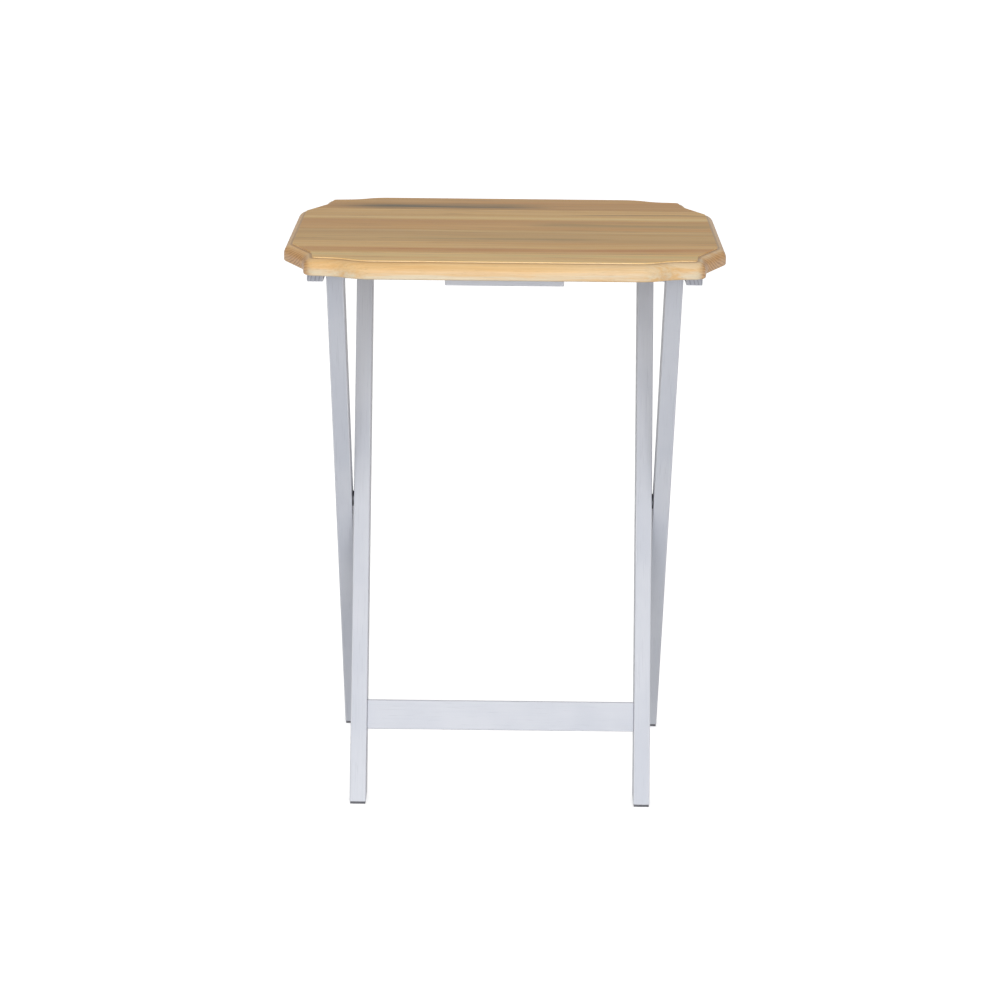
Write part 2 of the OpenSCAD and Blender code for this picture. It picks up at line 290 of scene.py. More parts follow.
def rectangle(low: Point2, high: Point2) -> list[Point2]:
    """The outline of a rectangle, given as Y and Z."""
    return [low, (high[0], low[1]), high, (low[0], high[1])]


def add_turning(
    shape: bmesh.types.BMesh,
    profile: list[Point2],
    place: Matrix,
    segments: int = 48,
    ring: bool = False,
) -> None:
    """Adds a turned solid.

    Args:
        shape: The mesh that gains the solid.
        profile: Points as radius and height along the axis. A radius of 0 closes an end.
        place: Where the axis starts and points, along the matrix's Z.
        segments: How many faces go round.
        ring: True if the profile closes on itself.
    """
    turns = [2 * math.pi * i / segments for i in range(segments)]
    rings = []
    for radius, height in profile:
        spots = (
            [Vector((0, 0, height))]
            if radius < TINY
            else [Vector((radius * math.cos(t), radius * math.sin(t), height)) for t in turns]
        )
        rings.append([shape.verts.new(place @ spot) for spot in spots])
    pairs = list(zip(rings, rings[1:])) + ([(rings[-1], rings[0])] if ring else [])
    for near, far in pairs:
        for i in range(segments):
            j = (i + 1) % segments
            corners = [near[i % len(near)], near[j % len(near)], far[j % len(far)], far[i % len(far)]]
            shape.faces.new(dict.fromkeys(corners))


def aim(point: Vector, axis: Vector) -> Matrix:
    """The matrix that puts a shape drawn along Z at a point, along an axis."""
    return Matrix.Translation(point) @ axis.to_track_quat("Z", "Y").to_matrix().to_4x4()


def bolt_shank(bolt: Box) -> float:
    """The radius of a bolt's shank, from the box round its head."""
    return bolt.size.z / 2 / BOLT_HEAD_RATIO


def solids_of(node: str) -> list[Box]:
    """Finds the separate solids of a node of the frame.

    Args:
        node: The node's name.

    Returns:
        The box of each solid.
    """
    shape = bmesh.new()
    shape.from_mesh(bpy.data.objects[node].data)
    bmesh.ops.remove_doubles(shape, verts=shape.verts, dist=0.001 * MM)
    waiting, found = set(shape.verts), []
    while waiting:
        front = [waiting.pop()]
        solid = list(front)
        while front:
            near = {e.other_vert(v) for v in front for e in v.link_edges} & waiting
            waiting -= near
            front = list(near)
            solid += front
        places = [v.co for v in solid]
        found.append(
            Box(
                Vector(min(p[k] for p in places) for k in range(3)),
                Vector(max(p[k] for p in places) for k in range(3)),
            )
        )
    shape.free()
    return sorted(found, key=lambda box: tuple(round(c, 5) for c in box.middle))


def dress(
    made: bpy.types.Object, body: Body, slot: Slot, finish: bpy.types.Material, *nodes: str
) -> None:
    """Gives a finished piece its material and its place in the frame.

    Args:
        made: The piece.
        body: The body that it rides on.
        slot: The finish that a scene may repaint; not used.
        finish: The piece's material.
        nodes: The nodes of the frame that it stands for.
    """
    made.data.materials.clear()
    made.data.materials.append(finish)
    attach(made, body.value)
    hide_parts(*nodes)
    log.info("%s: %d faces, on %s", made.name, len(made.data.polygons), body.value)


# ---- finishes ----


class NodeKit:
    """Short words for the nodes that the materials and the surround share."""

    MIX_FACTOR, MIX_A, MIX_B, MIX_RESULT = 0, 6, 7, 2

    def __init__(self, tree: bpy.types.NodeTree) -> None:
        """Takes the tree to build in, which is emptied.

        Args:
            tree: The node tree.
        """
        self.tree = tree
        tree.nodes.clear()
        self.places = tree.nodes.new("ShaderNodeTexCoord").outputs

    def feed(self, socket: bpy.types.NodeSocket, value: Value | Triple | Vector) -> None:
        """Links a socket to another, or sets its number or colour.

        Args:
            socket: The socket to feed.
            value: A socket, a number, a colour or a vector.
        """
        if isinstance(value, bpy.types.NodeSocket):
            self.tree.links.new(value, socket)
        elif socket.type == "RGBA":
            socket.default_value = (*value, 1.0)
        else:
            socket.default_value = value

    def math(self, operation: str, *values: Value) -> bpy.types.NodeSocket:
        """The result of one sum on numbers.

        Args:
            operation: What to do, as the Math node names it.
            values: The numbers.

        Returns:
            The result.
        """
        node = self.tree.nodes.new("ShaderNodeMath")
        node.operation = operation
        for socket, value in zip(node.inputs, values):
            self.feed(socket, value)
        return node.outputs[0]

    def fade(self, value: Value, at_zero: float, at_one: float) -> bpy.types.NodeSocket:
        """A smooth step that is 0 at one value and 1 at another."""
        return self.span(value, at_zero, at_one, 0.0, 1.0, "SMOOTHSTEP")

    def span(
        self, value: Value, low: float, high: float, out_low: float, out_high: float, how: str = "LINEAR"
    ) -> bpy.types.NodeSocket:
        """Moves a number from one range to another, and stops at its ends.

        Args:
            value: The number.
            low: Where its range starts.
            high: Where its range ends.
            out_low: What the start becomes.
            out_high: What the end becomes.
            how: The curve between them.

        Returns:
            The new number.
        """
        node = self.tree.nodes.new("ShaderNodeMapRange")
        node.interpolation_type = how
        for socket, number in zip(node.inputs, (value, low, high, out_low, out_high)):
            self.feed(socket, number)
        return node.outputs[0]

    def split(self, vector: bpy.types.NodeSocket) -> list[bpy.types.NodeSocket]:
        """The X, Y and Z parts of a vector.

        Args:
            vector: The vector.

        Returns:
            Its three parts.
        """
        node = self.tree.nodes.new("ShaderNodeSeparateXYZ")
        self.feed(node.inputs[0], vector)
        return list(node.outputs)

    def join(self, *parts: Value) -> bpy.types.NodeSocket:
        """The vector with these X, Y and Z parts.

        Args:
            parts: The three parts.

        Returns:
            The vector.
        """
        node = self.tree.nodes.new("ShaderNodeCombineXYZ")
        for socket, part in zip(node.inputs, parts):
            self.feed(socket, part)
        return node.outputs[0]

    def placed(
        self,
        vector: bpy.types.NodeSocket,
        scale: Triple = (1, 1, 1),
        turn: Triple = (0, 0, 0),
        shift: Triple = (0, 0, 0),
    ) -> bpy.types.NodeSocket:
        """A vector scaled, turned and shifted.

        Args:
            vector: The vector.
            scale: The scale along each axis.
            turn: The turn about each axis.
            shift: How far it is moved.

        Returns:
            The placed vector.
        """
        node = self.tree.nodes.new("ShaderNodeMapping")
        self.feed(node.inputs["Vector"], vector)
        self.feed(node.inputs["Scale"], scale)
        self.feed(node.inputs["Rotation"], turn)
        self.feed(node.inputs["Location"], shift)
        return node.outputs[0]

    def noise(
        self, vector: bpy.types.NodeSocket, scale: Triple, detail: float = 2.0, roughness: float = 0.5
    ) -> bpy.types.NodeSocket:
        """Noise from about 0.3 to 0.7, with that many cells to the metre each way.

        Args:
            vector: The place.
            scale: Cells to the metre along X, Y and Z.
            detail: How many finer layers it has.
            roughness: How strong the finer layers are.

        Returns:
            The noise.
        """
        node = self.tree.nodes.new("ShaderNodeTexNoise")
        self.feed(node.inputs["Vector"], self.placed(vector, scale=scale))
        self.feed(node.inputs["Scale"], 1.0)
        self.feed(node.inputs["Detail"], detail)
        self.feed(node.inputs["Roughness"], roughness)
        return node.outputs[0]

    def mix(
        self, share: Value, under: Value | Colour, over: Value | Colour, how: str = "MIX"
    ) -> bpy.types.NodeSocket:
        """One colour over another.

        Args:
            share: How much of the upper colour shows.
            under: The lower colour.
            over: The upper colour.
            how: How they blend, as the Mix node names it.

        Returns:
            The mixed colour.
        """
        node = self.tree.nodes.new("ShaderNodeMix")
        node.data_type = "RGBA"
        node.blend_type = how
        self.feed(node.inputs[self.MIX_FACTOR], share)
        self.feed(node.inputs[self.MIX_A], under)
        self.feed(node.inputs[self.MIX_B], over)
        return node.outputs[self.MIX_RESULT]


class Shader(NodeKit):
    """A material in the making."""

    def __init__(self, name: str) -> None:
        """Starts a material with one surface shader.

        Args:
            name: The material's name.
        """
        self.material = bpy.data.materials.new(name)
        self.material.use_nodes = True
        super().__init__(self.material.node_tree)
        self.output = self.tree.nodes.new("ShaderNodeOutputMaterial")
        self.surface = self.tree.nodes.new("ShaderNodeBsdfPrincipled")
        self.feed(self.output.inputs["Surface"], self.surface.outputs["BSDF"])

    def set(self, **values: Value | Colour) -> None:
        """Sets the surface shader's sockets, named with _ for a space."""
        for name, value in values.items():
            self.feed(self.surface.inputs[name.replace("_", " ")], value)

    def attribute(self, name: str) -> bpy.types.NodeSocket:
        """A number that the mesh carries.

        Args:
            name: The attribute's name.

        Returns:
            The number.
        """
        node = self.tree.nodes.new("ShaderNodeAttribute")
        node.attribute_name = name
        return node.outputs["Fac"]

    def relief(self, height: Value, depth: float, strength: float = 1.0) -> None:
        """Gives the surface a relief of that depth, in metres.

        Args:
            height: The height at each place, from 0 to about 1.
            depth: How deep a height of 1 is.
            strength: How strongly it shows.
        """
        node = self.tree.nodes.new("ShaderNodeBump")
        self.feed(node.inputs["Strength"], strength)
        self.feed(node.inputs["Distance"], depth)
        self.feed(node.inputs["Height"], height)
        self.feed(self.surface.inputs["Normal"], node.outputs[0])


@dataclass(frozen=True)
class Streak:
    """A band of another tone that runs along a board, straight but for the grain's waves."""

    y: float
    width: float
    colour: Colour
    x_from: float = -0.30
    x_to: float = 0.30
    strength: float = 0.8
    lead_out: float = 30 * MM  # how far it fades out past an end
    lead_in: float = 50 * MM  # how far in from an end it has its full strength

    def mask(self, s: Shader, figure: "WoodFigure") -> bpy.types.NodeSocket:
        """How strongly the streak shows at each place.

        Args:
            s: The material in the making.
            figure: The board's patterns.

        Returns:
            A number up to the streak's strength.
        """
        away = s.math("ABSOLUTE", s.math("SUBTRACT", figure.bent_y, self.y))
        shown = s.fade(away, self.width, self.width * 0.15)
        for end, way in ((self.x_from, 1), (self.x_to, -1)):
            reach = s.fade(figure.x, end - way * self.lead_out, end + way * self.lead_in)
            shown = s.math("MULTIPLY", shown, reach)
        return s.math("MULTIPLY", shown, self.strength)


@dataclass(frozen=True)
class WoodFigure:
    """The patterns that a board's finish is mixed from."""

    x: bpy.types.NodeSocket
    y: bpy.types.NodeSocket
    z: bpy.types.NodeSocket
    bent_y: bpy.types.NodeSocket  # the place across the board, with the grain's waves taken out
    apart: bpy.types.NodeSocket  # the place, moved so that no two boards look alike
    grain: bpy.types.NodeSocket
    bands: bpy.types.NodeSocket
    lines: bpy.types.NodeSocket
    hairs: bpy.types.NodeSocket
    fibres: bpy.types.NodeSocket
    pores: bpy.types.NodeSocket

    @classmethod
    def grown(cls, s: Shader, seed: float) -> "WoodFigure":
        """Grows the patterns of one board.

        Args:
            s: The material in the making.
            seed: Which part of the wood the board is cut from.

        Returns:
            The patterns, with the grain along X.
        """
        x, y, z = s.split(s.places["Object"])
        seed_y = seed * 0.37
        apart = s.join(s.math("ADD", x, seed), s.math("ADD", y, seed_y), z)
        wave = s.math("SUBTRACT", s.noise(apart, (2.6, 7.0, 7.0), 2.0), 0.5)
        ripple = s.math("SUBTRACT", s.noise(apart, (14.0, 30.0, 30.0), 1.0), 0.5)
        sway = s.math("ADD", s.math("MULTIPLY", wave, 30 * MM), s.math("MULTIPLY", ripple, 1.6 * MM))
        bent_y = s.math("ADD", y, sway)
        grain = s.join(s.math("ADD", x, seed), s.math("ADD", bent_y, seed_y), z)
        return cls(
            x, y, z, bent_y, apart, grain,
            bands=s.fade(s.noise(grain, (1.1, 34.0, 34.0), 3.0, 0.55), 0.36, 0.64),
            lines=s.fade(s.noise(grain, (2.4, 190.0, 120.0), 4.0, 0.65), 0.38, 0.66),
            hairs=s.noise(grain, (7.0, 620.0, 620.0), 3.0, 0.6),
            fibres=s.noise(grain, (45.0, 2200.0, 2200.0), 2.0, 0.6),
            pores=s.fade(s.noise(grain, (95.0, 1700.0, 1700.0), 1.0), 0.66, 0.72),
        )


@dataclass(frozen=True)
class WoodFinish:
    """Pale wood under clear satin lacquer, one plank's worth, with its grain along X."""

    name: str
    pale: Colour
    deep: Colour
    seed: float
    under_z: float
    over_z: float
    heart: Point2  # where the middle of the tree's rings lies, as Y and Z
    streaks: tuple[Streak, ...] = ()
    fleck: Colour = tone(158, 112, 58)
    lacquer: Colour = (1.0, 0.97, 0.80)
    # the moulded edge's paler tone: partly the wood's own, partly painted highlight
    edge: Colour = tone(230, 192, 140)
    # painted highlight: a whiter tone on the low, front-facing land of the edge and towards its right end
    edge_low: Colour = tone(222, 208, 182)
    edge_deep: Colour = tone(222, 174, 112)
    end_grain: Colour = tone(218, 168, 110)
    late_wood: Colour = tone(166, 104, 48)
    # painted highlight on the fillet's upright face
    lip: Colour = tone(246, 230, 200)
    # painted shade in the corner under the fillet
    crease: Colour = tone(120, 76, 40)
    ring_pitch: float = 3.4 * MM
    ring_wobble: float = 6 * MM
    fillet: float = 1.4 * MM
    # painted highlight: the edge takes more of its whiter tone towards the right end
    paler_x: Point2 = (0.02, 0.18)  # the edge turns paler between these places

    def face(self, s: Shader, figure: WoodFigure) -> bpy.types.NodeSocket:
        """The colour of the flat of the board, with its flecks and streaks under the lacquer.

        Args:
            s: The material in the making.
            figure: The board's patterns.

        Returns:
            The colour.
        """
        colour = s.mix(figure.bands, self.pale, self.deep)
        colour = s.mix(s.math("MULTIPLY", figure.lines, 0.34), colour, self.deep)
        flecks = s.fade(s.noise(figure.grain, (10.0, 150.0, 150.0), 3.0, 0.6), 0.56, 0.70)
        colour = s.mix(s.math("MULTIPLY", flecks, 0.40), colour, self.fleck)
        broken = s.span(s.noise(figure.grain, (5.0, 70.0, 70.0), 3.0, 0.6), 0.34, 0.6, 0.25, 1.0)
        for streak in self.streaks:
            colour = s.mix(s.math("MULTIPLY", streak.mask(s, figure), broken), colour, streak.colour)
        return s.mix(1.0, colour, self.lacquer, "MULTIPLY")

    def moulded(self, s: Shader, figure: WoodFigure, colour: Value) -> bpy.types.NodeSocket:
        """Lays the paler colour of the moulded edge over the board's own. The paleness is partly the wood's
        tone and partly painted highlight, for the light that the front-facing edge catches.

        Args:
            s: The material in the making.
            figure: The board's patterns.
            colour: The colour so far.

        Returns:
            The colour.
        """
        low, high = self.under_z + 4 * MM, self.under_z + 11 * MM
        # painted highlight: the lower part of the edge, which faces the front, takes the whiter tone
        edge = s.mix(s.fade(figure.z, low, high), self.edge_low, self.edge)
        # painted highlight, stronger towards the right end of the edge
        edge = s.mix(s.math("MULTIPLY", s.fade(figure.x, *self.paler_x), 0.5), edge, self.edge_low)
        edge = s.mix(s.math("MULTIPLY", figure.lines, 0.8), edge, self.edge_deep)
        share = s.fade(figure.z, self.over_z - self.fillet / 2, self.over_z - self.fillet)
        return s.mix(s.math("MULTIPLY", share, 0.86), colour, edge)

    def ended(self, s: Shader, figure: WoodFigure, colour: Value, below: Value) -> bpy.types.NodeSocket:
        """Lays the end grain, with its growth rings, over what faces sideways.

        Args:
            s: The material in the making.
            figure: The board's patterns.
            colour: The colour so far.
            below: 1 under the flat of the top, and 0 on it.

        Returns:
            The colour.
        """
        across = s.math("ABSOLUTE", s.split(s.places["Normal"])[0])
        ends = s.math("MULTIPLY", s.fade(across, 0.35, 0.85), below)
        out_y = s.math("SUBTRACT", figure.y, self.heart[0])
        out_z = s.math("SUBTRACT", figure.z, self.heart[1])
        radius = s.math("SQRT", s.math("MULTIPLY_ADD", out_y, out_y, s.math("MULTIPLY", out_z, out_z)))
        wobble = s.math("MULTIPLY", s.noise(figure.apart, (25.0, 60.0, 60.0), 3.0), self.ring_wobble)
        turns = s.math("MULTIPLY", s.math("ADD", radius, wobble), 2 * math.pi / self.ring_pitch)
        ring = s.fade(s.math("SINE", turns), -0.3, 1.0)
        late = s.math("MULTIPLY", ring, s.span(figure.bands, 0.0, 1.0, 0.45, 0.9))
        specks = s.fade(s.noise(s.places["Object"], (200.0, 1900.0, 1900.0), 2.0), 0.52, 0.72)
        end = s.mix(late, self.end_grain, self.late_wood)
        end = s.mix(s.math("MULTIPLY", specks, 0.25), end, self.late_wood)
        return s.mix(s.math("MULTIPLY", ends, 0.85), colour, end)

    def creased(self, s: Shader, figure: WoodFigure, colour: Value, below: Value) -> bpy.types.NodeSocket:
        """Paints a highlight on the fillet's upright face and a line of shade in the corner below it.

        Args:
            s: The material in the making.
            figure: The board's patterns.
            colour: The colour so far.
            below: 1 under the flat of the top, and 0 on it.

        Returns:
            The colour.
        """
        corner = self.over_z - self.fillet
        low = s.fade(figure.z, corner - 0.7 * MM, corner - 0.1 * MM)
        high = s.fade(figure.z, corner + 0.4 * MM, corner + 0.1 * MM)
        # painted shade: a dark line along the corner under the fillet
        line = s.math("MULTIPLY", s.math("MULTIPLY", low, high), 0.40)
        # painted highlight on the fillet's upright face, above that corner
        lip = s.math("MULTIPLY", s.fade(figure.z, corner + 0.2 * MM, corner + 0.5 * MM), below)
        colour = s.mix(s.math("MULTIPLY", lip, 0.75), colour, self.lip)
        return s.mix(line, colour, self.crease)

    def material(self) -> bpy.types.Material:
        """Builds the material.

        Returns:
            The wood, with bands, growth lines, streaks, fibres, pores and end grain.
        """
        s = Shader(self.name)
        figure = WoodFigure.grown(s, self.seed)
        hairs, fibres, pores = figure.hairs, figure.fibres, figure.pores
        below = s.fade(figure.z, self.over_z - 0.2 * MM, self.over_z - self.fillet)
        colour = self.moulded(s, figure, self.face(s, figure))
        colour = self.creased(s, figure, self.ended(s, figure, colour, below), below)

        shade = s.span(hairs, 0.3, 0.7, 0.94, 1.05)
        shade = s.math("MULTIPLY", shade, s.span(fibres, 0.3, 0.7, 0.965, 1.03))
        shade = s.math("MULTIPLY", shade, s.span(pores, 0.0, 1.0, 1.0, 0.86))
        height = s.math("MULTIPLY_ADD", fibres, 0.5, hairs)
        s.relief(s.math("SUBTRACT", height, s.math("MULTIPLY", pores, 0.8)), 0.04 * MM, 0.6)
        s.set(
            Base_Color=s.mix(1.0, colour, s.join(shade, shade, shade), "MULTIPLY"),
            Roughness=s.span(hairs, 0.3, 0.7, 0.36, 0.50),
            Specular_IOR_Level=0.36,
            Coat_Weight=0.16,
            Coat_Roughness=0.24,
        )
        return s.material


class Grain(Enum):
    """Which way the grain runs under the paint: the axis, and the lean's sign."""

    SIDEWAYS = (0, 0)
    LENGTHWISE = (1, 0)
    OUTER_LEG = (2, -1)
    INNER_LEG = (2, 1)


@dataclass(frozen=True)
class PaintFinish:
    """Satin paint on wood, thin enough for the grain to show."""

    lean: float
    colour: Colour = tone(207, 209, 216)
    shaded: Colour = tone(197, 200, 209)
    rubbed: Colour = tone(226, 227, 232)
    # grain lines and end rings, and also painted shade on the ends that face front or back
    end_line: Colour = tone(132, 134, 146)
    ring_pitch: float = 4.2 * MM
    ring_wobble: float = 5 * MM

    def end_rings(self, s: Shader) -> tuple[bpy.types.NodeSocket, bpy.types.NodeSocket]:
        """The growth rings that show through the paint on ends that face front or back.

        Args:
            s: The material in the making.

        Returns:
            The rings, and how squarely the surface faces the front or the back.
        """
        x, _, z = s.split(s.places["Object"])
        bow = s.math("MULTIPLY_ADD", z, 0.22, s.math("ABSOLUTE", x))
        uneven = s.noise(s.places["Object"], (70.0, 0.0, 45.0), 2.0)
        bow = s.math("ADD", bow, s.math("MULTIPLY", uneven, self.ring_wobble))
        turns = s.math("MULTIPLY", bow, 2 * math.pi / self.ring_pitch)
        front = s.math("ABSOLUTE", s.split(s.places["Normal"])[1])
        return s.fade(s.math("SINE", turns), 0.30, 0.98), s.fade(front, 0.80, 0.98)

    def material(self, grain: Grain) -> bpy.types.Material:
        """Builds the material for one way of the grain.

        Args:
            grain: Which way the grain runs.

        Returns:
            The paint, with brushed grain, rubbed rims, and end grain darkened partly by painted shade.
        """
        axis, sign = grain.value
        s = Shader(f"painted_wood_{grain.name.lower()}")
        turned = s.placed(s.places["Object"], turn=(sign * self.lean, 0, 0))

        def along(run: float, cross: float) -> Triple:
            """Cells to the metre: few along the grain and many across it."""
            return tuple(run if k == axis else cross for k in range(3))

        clouds = s.noise(s.places["Object"], (9.0, 9.0, 9.0), 3.0)
        brushed = s.noise(turned, along(6.0, 420.0), 4.0, 0.65)
        fine = s.noise(turned, along(40.0, 1500.0), 2.0, 0.6)
        peel = s.noise(s.places["Object"], (380.0, 380.0, 380.0), 2.0)
        vessels = s.fade(s.noise(turned, along(26.0, 950.0), 2.0, 0.6), 0.60, 0.70)

        colour = s.mix(s.fade(clouds, 0.35, 0.65), self.colour, self.shaded)
        colour = s.mix(s.math("MULTIPLY", s.fade(brushed, 0.42, 0.72), 0.35), colour, self.shaded)
        colour = s.mix(s.math("MULTIPLY", vessels, 0.16), colour, self.end_line)
        worn = s.math("MULTIPLY", s.attribute("rim"), s.fade(clouds, 0.40, 0.62))
        colour = s.mix(s.math("MULTIPLY", worn, 0.6), colour, self.rubbed)
        height = s.math("ADD", s.math("MULTIPLY", brushed, 0.9), s.math("MULTIPLY", fine, 0.45))
        height = s.math("ADD", height, s.math("MULTIPLY", peel, 0.35))
        height = s.math("SUBTRACT", height, s.math("MULTIPLY", vessels, 0.35))
        if grain is Grain.LENGTHWISE:
            rings, facing = self.end_rings(s)
            # ends that face front or back are darkened: the rings are end grain under the paint, and the
            # even darkening under them is painted shade, as where the cleats' front ends sit under the top
            end_rings_and_shade = s.math("MULTIPLY", s.math("MULTIPLY_ADD", rings, 0.40, 0.55), facing)
            colour = s.mix(end_rings_and_shade, colour, self.end_line)
            height = s.math("SUBTRACT", height, s.math("MULTIPLY", rings, facing))
        s.relief(height, 0.05 * MM, 0.7)
        s.set(
            Base_Color=colour,
            Roughness=s.span(fine, 0.3, 0.7, 0.40, 0.52),
            Specular_IOR_Level=0.45,
            Coat_Weight=0.12,
            Coat_Roughness=0.3,
        )
        return s.material


@dataclass(frozen=True)
class MetalFinish:
    """Zinc-plated steel, dulled and finely scratched."""

    name: str
    bright: Colour
    dull: Colour
    roughness: float

    def material(self) -> bpy.types.Material:
        """Builds the material.

        Returns:
            The plated steel.
        """
        s = Shader(self.name)
        clouds = s.noise(s.places["Object"], (420.0, 420.0, 420.0), 4.0, 0.65)
        scratches = s.noise(s.places["Object"], (5200.0, 700.0, 2600.0), 2.0)
        colour = s.mix(s.fade(clouds, 0.38, 0.66), self.bright, self.dull)
        colour = s.mix(s.math("MULTIPLY", s.attribute("rim"), 0.35), colour, self.bright)
        rough = s.span(clouds, 0.3, 0.7, self.roughness - 0.08, self.roughness + 0.12)
        s.relief(s.math("ADD", clouds, s.math("MULTIPLY", scratches, 0.6)), 0.02 * MM, 0.5)
        s.set(Base_Color=colour, Metallic=1.0, Roughness=rough)
        return s.material


@dataclass(frozen=True)
class PlasticFinish:
    """Moulded plastic with a fine grain and scuffs from the floor."""

    name: str
    colour: Colour
    scuffed: Colour

    def material(self) -> bpy.types.Material:
        """Builds the material.

        Returns:
            The moulded plastic.
        """
        s = Shader(self.name)
        grain = s.noise(s.places["Object"], (1500.0, 1500.0, 1500.0), 3.0, 0.6)
        clouds = s.noise(s.places["Object"], (160.0, 160.0, 160.0), 4.0, 0.6)
        exposed = s.span(s.attribute("rim"), 0.0, 1.0, 0.35, 1.0)
        scuffs = s.math("MULTIPLY", s.fade(clouds, 0.42, 0.66), exposed)
        s.relief(grain, 0.05 * MM, 0.6)
        s.set(
            Base_Color=s.mix(scuffs, self.colour, self.scuffed),
            Roughness=s.span(grain, 0.3, 0.7, 0.48, 0.62),
            Specular_IOR_Level=0.4,
        )
        return s.material


# ---- the top ----


@dataclass(frozen=True)
class TopOutline:
    """The outline of the top: a stepped ogee corner, repeated in all four quarters.

    An angle says which way the edge faces, 0 to the front and 90 degrees to the side.
    """

    half_width: float
    half_depth: float
    flat: float = 140 * MM
    step_out: float = 60 * MM
    step_in: float = 45 * MM
    step_angle: float = 30
    shoulder_angle: float = 6
    shoulder: float = 14 * MM
    nose: float = 14 * MM
    nose_angle: float = 84
    flank: float = 14 * MM
    cove: float = 25 * MM
    flank_angle: float = 62
    side_nose: float = 22 * MM
    degrees_per_point: float = 3

    @staticmethod
    def facing(angle: float) -> Vector:
        """The direction that an edge of that angle faces, as X and Y."""
        return Vector((math.sin(math.radians(angle)), -math.cos(math.radians(angle))))

    def arc(self, trail: Trail, radius: float, to_angle: float, angle: float) -> float:
        """Adds an arc to the trail. A radius below 0 hollows the edge.

        Args:
            trail: The points so far, each with the way that its edge faces.
            radius: The arc's radius.
            to_angle: The angle at the arc's end.
            angle: The angle at its start.

        Returns:
            The angle at the arc's end.
        """
        start = trail[-1][0]
        steps = math.ceil(abs(to_angle - angle) / self.degrees_per_point)
        for i in range(1, steps + 1):
            way = self.facing(angle + (to_angle - angle) * i / steps)
            trail.append((start + radius * (way - self.facing(angle)), way))
        return to_angle

    def run(self, trail: Trail, length: float) -> None:
        """Adds a straight stretch to the trail.

        Args:
            trail: The points so far.
            length: The stretch's length.
        """
        spot, way = trail[-1]
        trail.append((spot + length * Vector((-way.y, way.x)), way))

    def corner(self) -> Trail:
        """The front right quarter, from the front edge to the side.

        Returns:
            The points, each with the way that its edge faces.
        """
        trail = [(Vector((self.flat, -self.half_depth)), self.facing(0))]
        angle = self.arc(trail, self.step_out, self.step_angle, 0)
        angle = self.arc(trail, -self.step_in, self.shoulder_angle, angle)
        self.run(trail, self.shoulder)
        angle = self.arc(trail, self.nose, self.nose_angle, angle)
        self.run(trail, self.flank)
        angle = self.arc(trail, -self.cove, self.flank_angle, angle)
        slant = math.radians(self.flank_angle)
        room = self.half_width - trail[-1][0].x - self.side_nose * (1 - math.sin(slant))
        self.run(trail, room / math.cos(slant))
        self.arc(trail, self.side_nose, 90, angle)
        return trail

    def points(self) -> Trail:
        """The whole outline, with the way that each point faces.

        Returns:
            The points, round the top once.
        """

        def turned(sx: int, sy: int) -> Trail:
            """One quarter, mirrored.

            Args:
                sx: The sign of X there.
                sy: 1 for the front and -1 for the back.

            Returns:
                Its points, in the order that the outline runs.
            """
            sign = Vector((sx, sy))
            flip = [(sign * p, sign * n) for p, n in self.corner()]
            return flip if sx * sy > 0 else flip[::-1]

        return turned(1, 1) + turned(1, -1) + turned(-1, -1) + turned(-1, 1)


